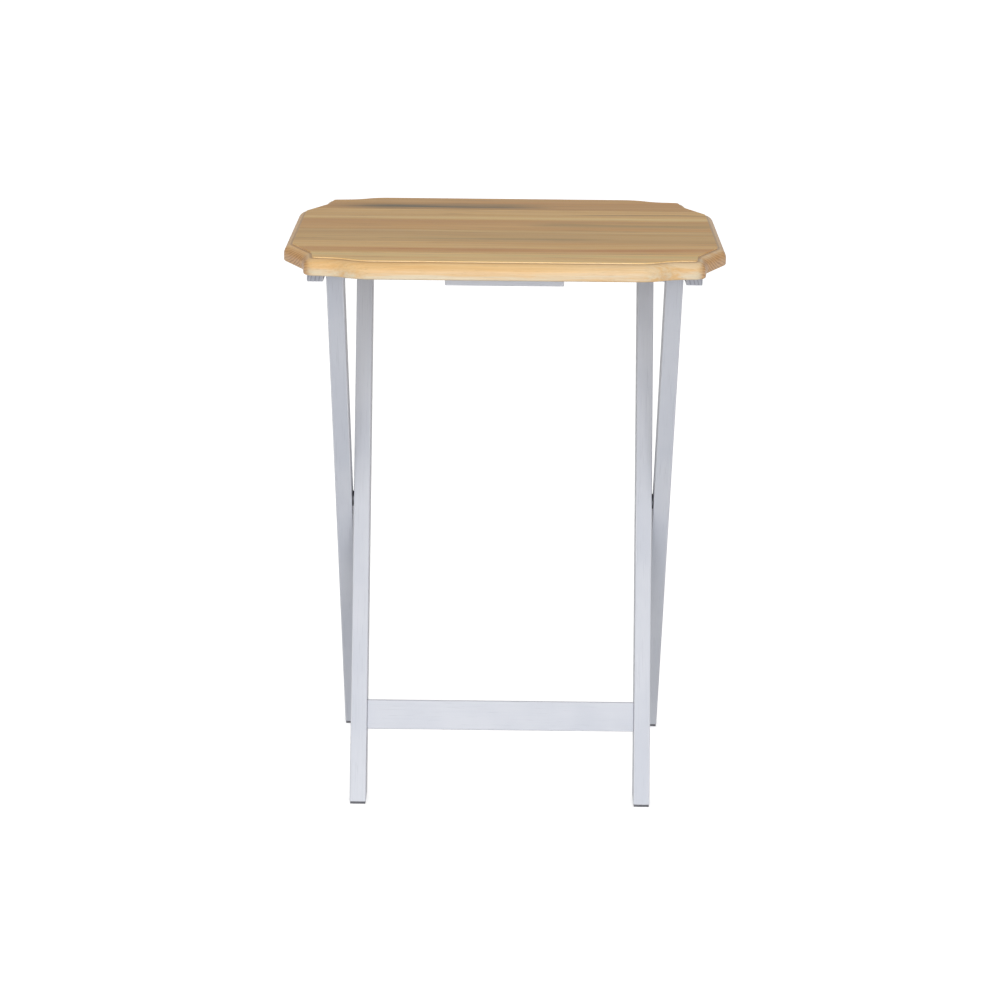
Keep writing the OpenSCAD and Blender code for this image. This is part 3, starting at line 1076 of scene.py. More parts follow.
@dataclass(frozen=True)
class Tabletop:
    """The six glued boards, moulded round the edge."""

    under_z: float
    over_z: float
    outline: TopOutline
    board_nodes: tuple[str, ...]
    round_in: float = 9.4 * MM
    fillet: float = 1.4 * MM
    land: float = 7 * MM
    lower_ease: float = 1.6 * MM
    crown: tuple[Point2, ...] = (  # in from the fillet, and down from the flat
        (0.05 * MM, 0.40 * MM), (0.18 * MM, 0.14 * MM), (0.45 * MM, 0.0)
    )
    ease_steps: int = 4
    round_steps: int = 12
    seam: float = 0.28 * MM
    heart_offset: Point2 = (18 * MM, 42 * MM)  # from a board's middle to the tree's heart

    @classmethod
    def from_frame(cls) -> "Tabletop":
        """Reads the top's size from the frame.

        Returns:
            The top.
        """
        names = tuple(sorted(n for n in frame_nodes() if n.startswith("top_board_")))
        boxes = [Box.of(name) for name in names]
        wide = max(box.high.x for box in boxes)
        deep = max(box.high.y for box in boxes)
        return cls(boxes[0].low.z, boxes[0].high.z, TopOutline(wide, deep), names)

    def moulding(self) -> list[Point2]:
        """The edge's section, as distance in from the edge and height above the underside.

        Returns:
            The points, from the underside up.
        """
        thick = self.over_z - self.under_z
        rise = thick - self.land - self.fillet

        def quarter(steps: int) -> list[float]:
            """The angles of a quarter turn."""
            return [math.pi / 2 * i / steps for i in range(steps + 1)]

        ease_in = [(self.lower_ease * (1 - math.sin(t)), self.lower_ease * (1 - math.cos(t)))
                   for t in quarter(self.ease_steps)]
        over = [(self.round_in * (1 - math.cos(t)), self.land + rise * math.sin(t))
                for t in quarter(self.round_steps)]
        crown = [(self.round_in + inset, thick - drop) for inset, drop in self.crown]
        return ease_in + over + crown

    def blank(self) -> bmesh.types.BMesh:
        """The whole moulded top, before it is parted into boards.

        Returns:
            The closed mesh.
        """
        shape = bmesh.new()
        outline = self.outline.points()
        rings = []
        for inset, rise in self.moulding():
            spots = [p - inset * n for p, n in outline]
            rings.append([shape.verts.new((p.x, p.y, self.under_z + rise)) for p in spots])
        shape.faces.new(rings[0][::-1])
        shape.faces.new(rings[-1])
        for low, high in zip(rings, rings[1:]):
            for i in range(len(low)):
                j = (i + 1) % len(low)
                shape.faces.new((low[i], low[j], high[j], high[i]))
        return shape

    def board(self, node: str) -> bpy.types.Object:
        """Cuts one board out of the blank and eases the arrises of its seams.

        Args:
            node: The board's node in the frame.

        Returns:
            The board.
        """
        box = Box.of(node)
        shape = self.blank()
        for y, way in ((box.low.y, 1), (box.high.y, -1)):
            if abs(y) > self.outline.half_depth - 0.01 * MM:  # the top's own edge
                continue
            everything = shape.verts[:] + shape.edges[:] + shape.faces[:]
            cut = bmesh.ops.bisect_plane(
                shape, geom=everything, plane_co=(0, y, 0), plane_no=(0, way, 0), clear_inner=True
            )
            rim = [e for e in cut["geom_cut"] if isinstance(e, bmesh.types.BMEdge)]
            bmesh.ops.contextual_create(shape, geom=rim)
        made = new_object(node.replace("top_board", "Tabletop_board"), shape)
        return polish(ease(made, self.seam, 2), 0.35 * MM)

    def finishes(self) -> dict[str, WoodFinish]:
        """The wood of each board, front to back.

        Returns:
            Each board's finish, by its node.
        """
        brown, tan = tone(198, 130, 50), tone(200, 144, 72)
        olive, umber, moss = tone(128, 110, 58), tone(104, 52, 14), tone(98, 86, 46)
        pale = tone(236, 204, 144)
        boards = (
            (tone(238, 202, 140), tone(226, 182, 116), 1.7,
             (Streak(-0.150, 8 * MM, tone(214, 188, 126), strength=0.6),)),
            (tone(228, 186, 120), tone(210, 160, 90), 4.3,
             (Streak(-0.119, 19 * MM, brown, -0.24, 0.26, 0.85),
              Streak(-0.1345, 3 * MM, umber, 0.0, 0.2, 0.6),
              Streak(-0.088, 8 * MM, pale, strength=0.25))),
            (tone(214, 174, 110), tone(198, 154, 90), 8.9,
             (Streak(-0.018, 8 * MM, pale, strength=0.5),
              Streak(-0.060, 10 * MM, olive, -0.12, 0.10, 0.4))),
            (tone(222, 176, 108), tone(204, 152, 82), 12.2,
             (Streak(0.022, 22 * MM, olive, 0.03, 0.26, 0.5),
              Streak(0.036, 8 * MM, tan, -0.24, 0.0, 0.6))),
            (tone(226, 184, 118), tone(210, 164, 96), 15.8,
             (Streak(0.056, 8 * MM, pale, strength=0.8),
              Streak(0.079, 3.2 * MM, umber, 0.08, 0.24, 0.95),
              Streak(0.092, 10 * MM, tan, strength=0.45))),
            (tone(214, 168, 100), tone(196, 144, 76), 19.4,
             (Streak(0.134, 26 * MM, moss, -0.19, 0.04, 1.0),
              Streak(0.162, 12 * MM, brown, -0.05, 0.24, 0.45))),
        )
        finishes = {}
        for i, (node, (light, dark, seed, streaks)) in enumerate(zip(self.board_nodes, boards)):
            middle = Box.of(node).middle
            turned = 1 if i % 2 else -1
            heart = (middle.y + turned * self.heart_offset[0], middle.z + turned * self.heart_offset[1])
            name = f"lacquered_{node}"
            finishes[node] = WoodFinish(
                name, light, dark, seed, self.under_z, self.over_z, heart, streaks
            )
        return finishes

    def build(self) -> None:
        """Builds and dresses the boards."""
        for node, finish in self.finishes().items():
            dress(self.board(node), Body.TOP, Slot.WOOD, finish.material(), node)


# ---- legs, cross members and blocks ----


@dataclass(frozen=True)
class Drilling:
    """A hole in a wooden piece: a countersink or a counterbore, then a bore."""

    place: Vector
    axis: Vector
    wide: float
    bore: float
    length: float
    shoulder: float = 0.0  # depth of a flat-bottomed seat; 0 for a countersink

    def add_to(self, tools: bmesh.types.BMesh) -> None:
        """Adds the hole's shape to the cutting tools.

        Args:
            tools: The cutting tools.
        """
        if self.shoulder:
            seat = [(self.wide, self.shoulder), (self.bore, self.shoulder)]
        else:
            seat = [(self.wide, 0.0), (self.bore, self.wide - self.bore)]
        mouth = [(0.0, -OVERRUN), (self.wide, -OVERRUN)]
        profile = [*mouth, *seat, (self.bore, self.length), (0.0, self.length)]
        add_turning(tools, profile, aim(self.place, self.axis))


def drill(made: bpy.types.Object, holes: list[Drilling]) -> bpy.types.Object:
    """Drills a wooden piece and finishes its shading.

    Args:
        made: The piece.
        holes: The holes.

    Returns:
        The same piece, drilled.
    """
    tools = bmesh.new()
    for hole in holes:
        hole.add_to(tools)
    return polish(carve(made, tools))


@dataclass(frozen=True)
class Joinery:
    """What the wooden parts have in common, read from the frame."""

    lean: float
    cross: Vector
    hinge: Vector
    paint: PaintFinish
    arris: float = 1.3 * MM
    seat_room: float = 0.5 * MM  # room round a bolt's head in its countersink

    @classmethod
    def from_frame(cls, joints: list[dict]) -> "Joinery":
        """Reads the axes of the legs' crossing and of the top's hinge.

        Args:
            joints: The frame's joints.

        Returns:
            The joinery.
        """
        places = {joint["name"]: Vector(joint["pos_m"]) for joint in joints}
        cross, hinge = places["leg_fold"], places["top_swing"]
        lean = math.atan2(cross.y - hinge.y, hinge.z - cross.z)
        return cls(lean, cross, hinge, PaintFinish(lean))

    def screw_hole(self, head: Vector, axis: Vector, length: float) -> Drilling:
        """The hole of a countersunk wood screw."""
        return Drilling(head, axis, SCREW_HEAD + SOCKET_ROOM, SCREW_SHANK + SOCKET_ROOM, length)

    def bolt_hole(self, bolt: Box, face_x: float, length: float) -> Drilling:
        """The hole of a countersunk bolt, seen from the face that its head sits in.

        Args:
            bolt: The bolt's box.
            face_x: Where that face is, with its sign.
            length: How deep the hole goes.

        Returns:
            The hole.
        """
        head = bolt.size.z / 2
        shank = bolt_shank(bolt)
        spot = Vector((face_x, bolt.middle.y, bolt.middle.z))
        way = Vector((-math.copysign(1, face_x), 0, 0))
        return Drilling(spot, way, head + self.seat_room, shank + SOCKET_ROOM, length)


@dataclass(frozen=True)
class LegPair:
    """Two leaning legs, with the dowel that joins their tops."""

    joinery: Joinery
    body: Body
    grain: Grain
    dowel_node: str
    tip_steps: int = 24

    @property
    def word(self) -> str:
        """How the nodes call this pair."""
        return "outer" if self.body is Body.OUTER else "inner"

    def outline(self, leg: Box, tip: Vector) -> list[Point2]:
        """The side view of a leg: level at the foot, half round at the top.

        Args:
            leg: The leg's box.
            tip: The middle of the half round.

        Returns:
            The outline, as Y and Z.
        """
        lean = self.grain.value[1] * self.joinery.lean
        along = Vector((math.sin(lean), math.cos(lean)))
        across = Vector((math.cos(lean), -math.sin(lean)))
        radius = leg.high.z - tip.z
        end = Vector((tip.y, tip.z))
        foot = end + along * (leg.low.z - tip.z) / along.y
        half = Vector((radius / math.cos(lean), 0))
        turns = [math.pi * i / self.tip_steps for i in range(self.tip_steps + 1)]
        top = [end + radius * (math.cos(t) * across + math.sin(t) * along) for t in turns]
        return [tuple(p) for p in (foot - half, foot + half, *top)]

    def leg(self, side: Side) -> bpy.types.Object:
        """Builds one leg with its holes.

        Args:
            side: Which side of the table.

        Returns:
            The leg.
        """
        box = Box.of(f"{self.word}_leg_{side.word}")
        dowel = Box.of(self.dowel_node)
        shape = bmesh.new()
        add_prism(shape, self.outline(box, dowel.middle), box.low.x, box.high.x)
        made = ease(new_object(f"{self.word.title()}_leg_{side.word}", shape), self.joinery.arris)
        inner_x, outer_x = sorted((box.low.x, box.high.x), key=abs)
        outwards = Vector((side.value, 0, 0))
        thick = box.size.x
        socket = abs(dowel.high.x) - abs(inner_x)
        holes = [
            Drilling(
                Vector((inner_x, dowel.middle.y, dowel.middle.z)), outwards,
                dowel.size.z / 2 + SOCKET_ROOM, dowel.size.z / 2 - SOCKET_ROOM, socket, socket,
            )
        ]
        bolt = Box.of(f"cross_bolt_{side.word}")
        if self.body is Body.OUTER:
            holes.append(self.joinery.bolt_hole(bolt, outer_x, thick + OVERRUN))
        else:
            nut = Box.of(f"cross_nut_{side.word}")
            place = Vector((inner_x, bolt.middle.y, bolt.middle.z))
            head, sleeve = nut.size.z / 2 + SOCKET_ROOM, NUT_SLEEVE + SOCKET_ROOM
            holes.append(Drilling(place, outwards, head, sleeve, thick + OVERRUN, NUT_FLANGE))
            for screw in solids_of("stretcher_screws"):
                if screw.middle.x * side.value > 0:
                    spot = Vector((outer_x, screw.middle.y, screw.middle.z))
                    holes.append(self.joinery.screw_hole(spot, -outwards, thick + OVERRUN))
        return drill(made, holes)

    def dowel(self) -> bpy.types.Object:
        """Builds the turned dowel, with chamfered ends.

        Returns:
            The dowel.
        """
        box = Box.of(self.dowel_node)
        radius, chamfer = box.size.z / 2, 0.8 * MM
        shape = bmesh.new()
        profile = [(0.0, 0.0), (radius - chamfer, 0.0), (radius, chamfer),
                   (radius, box.size.x - chamfer), (radius - chamfer, box.size.x), (0.0, box.size.x)]
        start = Vector((box.low.x, box.middle.y, box.middle.z))
        add_turning(shape, profile, aim(start, Vector((1, 0, 0))), 64)
        return polish(new_object(f"{self.word.title()}_dowel", shape))

    def build(self) -> None:
        """Builds and dresses the pair and its dowel."""
        paint = self.joinery.paint.material(self.grain)
        for side in Side:
            dress(self.leg(side), self.body, Slot.PAINT, paint, f"{self.word}_leg_{side.word}")
        sideways = self.joinery.paint.material(Grain.SIDEWAYS)
        dress(self.dowel(), self.body, Slot.PAINT, sideways, self.dowel_node)


@dataclass(frozen=True)
class Stretcher:
    """The flat rail between the feet of the inner legs, in line with their front faces."""

    joinery: Joinery
    node: str = "front_stretcher"

    def build(self) -> None:
        """Builds and dresses the rail."""
        box = Box.of(self.node)
        slant = self.joinery.lean
        cos, sin = math.cos(slant), math.sin(slant)
        # The box of a leaning rectangle gives its sides: depth = t cos + h sin, height = t sin + h cos
        thick = (box.size.y * cos - box.size.z * sin) / (cos * cos - sin * sin)
        tall = (box.size.z * cos - box.size.y * sin) / (cos * cos - sin * sin)
        across, along = Vector((cos, -sin)), Vector((sin, cos))
        middle = Vector((box.middle.y, box.middle.z))
        corners = [middle + a * thick / 2 * across + b * tall / 2 * along
                   for a, b in ((-1, -1), (1, -1), (1, 1), (-1, 1))]
        shape = bmesh.new()
        add_prism(shape, [tuple(c) for c in corners], box.low.x, box.high.x)
        made = polish(ease(new_object("Front_stretcher", shape), self.joinery.arris))
        dress(made, Body.INNER, Slot.PAINT, self.joinery.paint.material(Grain.SIDEWAYS), self.node)


@dataclass(frozen=True)
class TopBlocks:
    """The blocks screwed under the top: two cleats, the hanging block and two catches."""

    joinery: Joinery
    catch_room: float = 0.4 * MM
    catch_flank: float = math.radians(40)
    seat_steps: int = 20

    def block(self, name: str, node: str, outline: list[Point2], holes: list[Drilling]) -> bpy.types.Object:
        """Builds one block across its node's width.

        Args:
            name: The piece's name.
            node: The block's node in the frame.
            outline: Its side view, as Y and Z.
            holes: The holes in it.

        Returns:
            The block.
        """
        box = Box.of(node)
        shape = bmesh.new()
        add_prism(shape, outline, box.low.x, box.high.x)
        return drill(ease(new_object(name, shape), self.joinery.arris), holes)

    def screw_holes(self, node: str, block: Box) -> list[Drilling]:
        """The holes of the screws of a node that come up through one block.

        Args:
            node: The screws' node in the frame.
            block: The block's box.

        Returns:
            One hole for each screw in the block.
        """
        up = Vector((0, 0, 1))
        heads = [Vector((s.middle.x, s.middle.y, s.low.z)) for s in solids_of(node)]
        return [
            self.joinery.screw_hole(head, up, block.size.z + OVERRUN)
            for head in heads
            if block.low.x < head.x < block.high.x and block.low.y < head.y < block.high.y
        ]

    def catch_outline(self, box: Box) -> list[Point2]:
        """A catch's side view: a block with a hooked seat over the rear dowel.

        Args:
            box: The catch's box.

        Returns:
            The outline, as Y and Z.
        """
        dowel = Box.of("inner_top_dowel")
        radius = dowel.size.z / 2 + self.catch_room
        y, z = dowel.middle.y, dowel.middle.z
        first = math.pi - self.catch_flank
        slope = [(y + radius * math.cos(first), z + radius * math.sin(first))]
        drop = slope[0][1] - box.low.z
        mouth = (slope[0][0] - drop * math.tan(self.catch_flank), box.low.z)
        turns = [first * i / self.seat_steps for i in range(self.seat_steps + 1)]
        seat = [(y + radius * math.cos(t), z + radius * math.sin(t)) for t in turns]
        return [
            (box.low.y, box.low.z), mouth, *seat[::-1], (y + radius, box.low.z),
            (box.high.y, box.low.z), (box.high.y, box.high.z), (box.low.y, box.high.z),
        ]

    def build(self) -> None:
        """Builds and dresses the blocks."""
        paint = self.joinery.paint
        lengthwise = paint.material(Grain.LENGTHWISE)
        for side in Side:
            node = f"cleat_{side.word}"
            box = Box.of(node)
            holes = self.screw_holes("cleat_screws", box)
            outer_x = max(box.low.x, box.high.x, key=abs)
            bolt = Box.of(f"hinge_bolt_{side.word}")
            holes.append(self.joinery.bolt_hole(bolt, outer_x, box.size.x + OVERRUN))
            outline = rectangle(tuple(box.low.yz), tuple(box.high.yz))
            made = self.block(f"Cleat_{side.word}", node, outline, holes)
            dress(made, Body.TOP, Slot.PAINT, lengthwise, node)

            node = f"catch_{side.word}"
            box = Box.of(node)
            holes = self.screw_holes("catch_screws", box)
            made = self.block(f"Catch_{side.word}", node, self.catch_outline(box), holes)
            dress(made, Body.TOP, Slot.PAINT, lengthwise, node)
        box = Box.of("hang_block")
        outline = rectangle(tuple(box.low.yz), tuple(box.high.yz))
        made = self.block("Hanging_block", "hang_block", outline, self.screw_holes("block_screws", box))
        dress(made, Body.TOP, Slot.PAINT, paint.material(Grain.SIDEWAYS), "hang_block")


# ---- hardware ----


@dataclass(frozen=True)
class Spot:
    """Where one piece of hardware goes: its head's place and the way that it points."""

    place: Vector
    axis: Vector


class ScatterTree:
    """The Geometry Nodes tree that sets a piece of hardware at every point of a mesh."""

    def __init__(self) -> None:
        """Builds the tree, with inputs for the piece, its finish, its turn and its seed."""
        tree = bpy.data.node_groups.new("set_hardware", "GeometryNodeTree")
        self.tree = tree
        sockets = (
            ("Points", "INPUT", "NodeSocketGeometry"),
            ("Piece", "INPUT", "NodeSocketObject"),
            ("Finish", "INPUT", "NodeSocketMaterial"),
            ("Most turn", "INPUT", "NodeSocketFloat"),
            ("Seed", "INPUT", "NodeSocketInt"),
            ("Hardware", "OUTPUT", "NodeSocketGeometry"),
        )
        for name, way, kind in sockets:
            tree.interface.new_socket(name, in_out=way, socket_type=kind)
        nodes, link = tree.nodes, tree.links.new
        given = nodes.new("NodeGroupInput").outputs
        axis = nodes.new("GeometryNodeInputNamedAttribute")
        axis.data_type = "FLOAT_VECTOR"
        axis.inputs["Name"].default_value = "axis"
        along = nodes.new("FunctionNodeAlignRotationToVector")
        along.axis = "Z"
        link(axis.outputs["Attribute"], along.inputs["Vector"])
        chance = nodes.new("FunctionNodeRandomValue")
        chance.data_type = "FLOAT"
        link(given["Most turn"], self.numeric(chance.inputs, "Max"))
        link(given["Seed"], chance.inputs["Seed"])
        turn = nodes.new("FunctionNodeAxisAngleToRotation")
        turn.inputs["Axis"].default_value = (0, 0, 1)
        link(self.numeric(chance.outputs, "Value"), turn.inputs["Angle"])
        both = nodes.new("FunctionNodeRotateRotation")
        both.rotation_space = "LOCAL"
        link(along.outputs[0], both.inputs[0])
        link(turn.outputs[0], both.inputs[1])
        source = nodes.new("GeometryNodeObjectInfo")
        link(given["Piece"], source.inputs["Object"])
        copies = nodes.new("GeometryNodeInstanceOnPoints")
        link(given["Points"], copies.inputs["Points"])
        link(source.outputs["Geometry"], copies.inputs["Instance"])
        link(both.outputs[0], copies.inputs["Rotation"])
        real = nodes.new("GeometryNodeRealizeInstances")
        link(copies.outputs[0], real.inputs[0])
        coat = nodes.new("GeometryNodeSetMaterial")
        link(real.outputs[0], coat.inputs["Geometry"])
        link(given["Finish"], coat.inputs["Material"])
        link(coat.outputs[0], nodes.new("NodeGroupOutput").inputs["Hardware"])

    @staticmethod
    def numeric(sockets: bpy.types.bpy_prop_collection, name: str) -> bpy.types.NodeSocket:
        """The socket of that name that carries a plain number."""
        return next(s for s in sockets if s.name == name and s.type == "VALUE")

    def scatter(
        self,
        name: str,
        piece: bpy.types.Object,
        finish: bpy.types.Material,
        spots: list[Spot],
        most_turn: float,
        seed: int,
    ) -> bpy.types.Object:
        """Sets a copy of a piece at each spot.

        Args:
            name: The new object's name.
            piece: The piece, drawn along Z with its head at the origin. It is used up.
            finish: The material of the copies.
            spots: Where the copies go.
            most_turn: The most that a copy is turned about its own axis.
            seed: The seed of those turns.

        Returns:
            One plain mesh with all the copies.
        """
        points = bpy.data.meshes.new(name)
        points.from_pydata([spot.place for spot in spots], [], [])
        axes = points.attributes.new("axis", "FLOAT_VECTOR", "POINT")
        for item, spot in zip(axes.data, spots):
            item.vector = spot.axis
        made = bpy.data.objects.new(name, points)
        bpy.context.scene.collection.objects.link(made)
        modifier = made.modifiers.new("Set hardware", "NODES")
        modifier.node_group = self.tree
        values = {"Piece": piece, "Finish": finish, "Most turn": most_turn, "Seed": seed}
        for socket in self.tree.interface.items_tree:
            if socket.name in values:
                modifier[socket.identifier] = values[socket.name]
        settle(made)
        spent = piece.data
        bpy.data.objects.remove(piece)
        bpy.data.meshes.remove(spent)
        return made


@dataclass(frozen=True)
class Hardware:
    """The screws, bolts, nuts, washers and glides."""

    joinery: Joinery
    tree: ScatterTree
    steel: bpy.types.Material
    blackened: bpy.types.Material
    plastic: bpy.types.Material
    cross_mouth: Point2 = (2.4 * MM, 0.55 * MM)  # a recess's reach and half width at the face
    cross_floor: Point2 = (0.8 * MM, 0.36 * MM)
    cross_depth: float = 1.7 * MM
    bolt_socket: float = 0.72  # a bolt's socket, as a share of its shank
    nut_socket: Point2 = (2.2 * MM, 1.6 * MM)  # its radius and depth

    @classmethod
    def for_table(cls, joinery: Joinery) -> "Hardware":
        """Mixes the finishes of the hardware.

        Args:
            joinery: What the wooden parts have in common.

        Returns:
            The hardware.
        """
        zinc = MetalFinish("zinc_plated_steel", tone(176, 178, 182), tone(138, 140, 146), 0.34)
        # the washers' dark steel is partly painted shade, standing for the dark gaps between the wooden
        # parts where they sit
        dark = MetalFinish("blackened_steel", tone(92, 92, 96), tone(58, 58, 62), 0.42)
        # the glides' dark grey is partly painted shade, standing for the contact shade under the feet
        glide = PlasticFinish("glide_plastic", tone(96, 96, 102), tone(132, 132, 138))
        return cls(joinery, ScatterTree(), zinc.material(), dark.material(), glide.material())

    @staticmethod
    def turned(
        name: str, profile: list[Point2], recess: bmesh.types.BMesh | None = None
    ) -> bpy.types.Object:
        """Makes a turned piece along Z, with a recess in its head.

        Args:
            name: The piece's name.
            profile: Its section, as radius and height.
            recess: The shape to take out of the head.

        Returns:
            The piece.
        """
        shape = bmesh.new()
        add_turning(shape, profile, Matrix.Identity(4))
        made = new_object(name, shape)
        if recess is not None:
            carve(made, recess)
        return polish(made, STEEL_RIM)

    def cross_recess(self) -> bmesh.types.BMesh:
        """The cross in a wood screw's head, narrowing as it goes in.

        Returns:
            The shape to take out.
        """
        shape = bmesh.new()
        rings = []
        levels = ((-OVERRUN, self.cross_mouth), (self.cross_depth, self.cross_floor))
        for depth, (reach, half) in levels:
            quarter = [(reach, -half), (reach, half), (half, half)]
            ring = []
            for k in range(4):
                turn = Matrix.Rotation(k * math.pi / 2, 3, "Z")
                ring += [shape.verts.new(turn @ Vector((x, y, depth))) for x, y in quarter]
            rings.append(ring)
        for ring in rings:
            shape.faces.new(ring)
        for i in range(len(rings[0])):
            j = (i + 1) % len(rings[0])
            shape.faces.new((rings[0][i], rings[0][j], rings[1][j], rings[1][i]))
        return shape

    @staticmethod
    def hex_recess(radius: float, depth: float) -> bmesh.types.BMesh:
        """The hexagon socket in a bolt's or a nut's head.

        Args:
            radius: The radius over the corners.
            depth: How deep its sides go.

        Returns:
            The shape to take out.
        """
        shape = bmesh.new()
        profile = [(0.0, -OVERRUN), (radius, -OVERRUN), (radius, depth), (0.0, depth + radius / 3)]
        add_turning(shape, profile, Matrix.Identity(4), 6)
        return shape

    def wood_screws(self, name: str, node: str, body: Body, seed: int) -> None:
        """Sets the wood screws of one node.

        Args:
            name: The piece's name.
            node: The screws' node in the frame.
            body: The body that they ride on.
            seed: The seed of their turns.
        """
        spots = []
        for solid in solids_of(node):
            if solid.size.z > solid.size.x:
                place = Vector((solid.middle.x, solid.middle.y, solid.low.z))
                spots.append(Spot(place, Vector((0, 0, 1))))
                length = solid.size.z
            else:
                head_x = max(solid.low.x, solid.high.x, key=abs)
                place = Vector((head_x, solid.middle.y, solid.middle.z))
                spots.append(Spot(place, Vector((-math.copysign(1, head_x), 0, 0))))
                length = solid.size.x
        head, face, tip = SCREW_HEAD - 0.1 * MM, SCREW_HEAD - 0.4 * MM, 0.4 * MM
        profile = [
            (0.0, 0.0), (face, 0.0), (head, 0.12 * MM), (head, 0.3 * MM),
            (SCREW_SHANK, 2 * MM), (SCREW_SHANK, length - 3 * MM), (tip, length), (0.0, length),
        ]
        piece = self.turned("screw_piece", profile, self.cross_recess())
        made = self.tree.scatter(name, piece, self.steel, spots, 2 * math.pi, seed)
        dress(made, body, Slot.STEEL, self.steel, node)

    def sideways(self, nodes: list[str], from_outside: bool) -> list[Spot]:
        """The spots of hardware on the side-to-side axes.

        Args:
            nodes: The nodes in the frame.
            from_outside: True if a head faces outwards, and False if it faces inwards.

        Returns:
            One spot for each node.
        """
        spots = []
        for node in nodes:
            box = Box.of(node)
            pick = max if from_outside else min
            x = pick(box.low.x, box.high.x, key=abs)
            way = math.copysign(1, x) * (-1 if from_outside else 1)
            spots.append(Spot(Vector((x, box.middle.y, box.middle.z)), Vector((way, 0, 0))))
        return spots

    def bolts(self, kind: str, body: Body, seed: int) -> None:
        """Sets a pair of countersunk bolts with hexagon sockets.

        Args:
            kind: How the nodes call the bolts.
            body: The body that they ride on.
            seed: The seed of their turns.
        """
        nodes = [f"{kind}_bolt_{side.word}" for side in Side]
        box = Box.of(nodes[0])
        head, length = box.size.z / 2, box.size.x
        shank = bolt_shank(box)
        rim = 0.25 * MM
        profile = [
            (0.0, 0.0), (head - rim, 0.0), (head - rim * ROUND_MIDDLE, rim * ROUND_MIDDLE), (head, rim),
            (shank, head - shank + rim), (shank, length - rim), (shank - rim, length), (0.0, length),
        ]
        piece = self.turned("bolt_piece", profile, self.hex_recess(shank * self.bolt_socket, shank))
        name = f"{kind.title()}_bolts"
        made = self.tree.scatter(name, piece, self.steel, self.sideways(nodes, True), 2 * math.pi, seed)
        dress(made, body, Slot.STEEL, self.steel, *nodes)

    def nuts(self, seed: int) -> None:
        """Sets the sleeve nuts in the inner legs.

        Args:
            seed: The seed of their turns.
        """
        nodes = [f"cross_nut_{side.word}" for side in Side]
        box = Box.of(nodes[0])
        head, length = box.size.z / 2, box.size.x
        rim = 0.3 * MM
        profile = [
            (0.0, 0.0), (head - rim, 0.0), (head, rim), (head, NUT_FLANGE), (NUT_SLEEVE, NUT_FLANGE),
            (NUT_SLEEVE, length), (0.0, length),
        ]
        piece = self.turned("nut_piece", profile, self.hex_recess(*self.nut_socket))
        spots = self.sideways(nodes, False)
        made = self.tree.scatter("Cross_nuts", piece, self.steel, spots, 2 * math.pi, seed)
        dress(made, Body.INNER, Slot.STEEL, self.steel, *nodes)

    def washers(self, kind: str, body: Body) -> None:
        """Sets a pair of flat washers, where two wooden parts turn on each other.

        Args:
            kind: How the nodes call the washers.
            body: The body that they ride on.
        """
        nodes = [f"{kind}_washer_{side.word}" for side in Side]
        box = Box.of(nodes[0])
        outer, thick = box.size.z / 2, box.size.x
        bolt = bolt_shank(Box.of(f"{kind}_bolt_left")) + SOCKET_ROOM
        soft = 0.3 * MM
        middle = soft * ROUND_MIDDLE
        profile = [
            (bolt, 0.0), (outer - soft, 0.0), (outer - middle, middle), (outer, soft),
            (outer, thick - soft), (outer - middle, thick - middle), (outer - soft, thick), (bolt, thick),
        ]
        shape = bmesh.new()
        add_turning(shape, profile, Matrix.Identity(4), ring=True)
        piece = polish(new_object("washer_piece", shape), STEEL_RIM)
        spots = self.sideways(nodes, False)
        # dark steel, partly painted shade of the gap between the two wooden parts
        made = self.tree.scatter(f"{kind.title()}_washers", piece, self.blackened, spots, 0.0, 0)
        dress(made, body, Slot.STEEL, self.blackened, *nodes)

    def glides(self, pair: str, body: Body) -> None:
        """Sets the pads under a pair of feet, each with its own nail.

        Args:
            pair: How the nodes call the pair.
            body: The body that they ride on.
        """
        nodes = [f"glide_{pair}_{side.word}" for side in Side]
        box, leg = Box.of(nodes[0]), Box.of(f"{pair}_leg_left")
        half, thick = box.size.x / 2, leg.low.z - box.low.z
        deep, flare, nail_radius = box.size.y / 2, 0.8 * MM, 1.2 * MM
        shape = bmesh.new()
        outline = [(-deep + flare, 0.0), (deep - flare, 0.0), (deep, flare),
                   (deep, thick), (-deep, thick), (-deep, flare)]
        add_prism(shape, outline, -half, half)
        piece = ease(new_object("glide_piece", shape), 0.45 * MM, 2)
        nail = bmesh.new()
        nail.from_mesh(piece.data)
        start, end = thick - OVERRUN, box.size.z
        profile = [(0.0, start), (nail_radius, start), (nail_radius, end), (0.0, end)]
        add_turning(nail, profile, Matrix.Identity(4), 16)
        nail.to_mesh(piece.data)
        nail.free()
        polish(piece, STEEL_RIM)
        up = Vector((0, 0, 1))
        boxes = [Box.of(node) for node in nodes]
        spots = [Spot(Vector((b.middle.x, b.middle.y, b.low.z)), up) for b in boxes]
        # dark grey pads, partly painted contact shade under the feet
        made = self.tree.scatter(f"{pair.title()}_glides", piece, self.plastic, spots, 0.0, 0)
        dress(made, body, Slot.PLASTIC, self.plastic, *nodes)

    def build(self) -> None:
        """Builds and dresses all the hardware."""
        self.wood_screws("Cleat_screws", "cleat_screws", Body.TOP, 1)
        self.wood_screws("Block_screws", "block_screws", Body.TOP, 2)
        self.wood_screws("Catch_screws", "catch_screws", Body.TOP, 3)
        self.wood_screws("Stretcher_screws", "stretcher_screws", Body.INNER, 4)
        self.bolts("hinge", Body.OUTER, 5)
        self.bolts("cross", Body.INNER, 6)
        self.nuts(7)
        self.washers("hinge", Body.OUTER)
        self.washers("cross", Body.INNER)
        self.glides("outer", Body.OUTER)
        self.glides("inner", Body.INNER)


# ---- studio ----


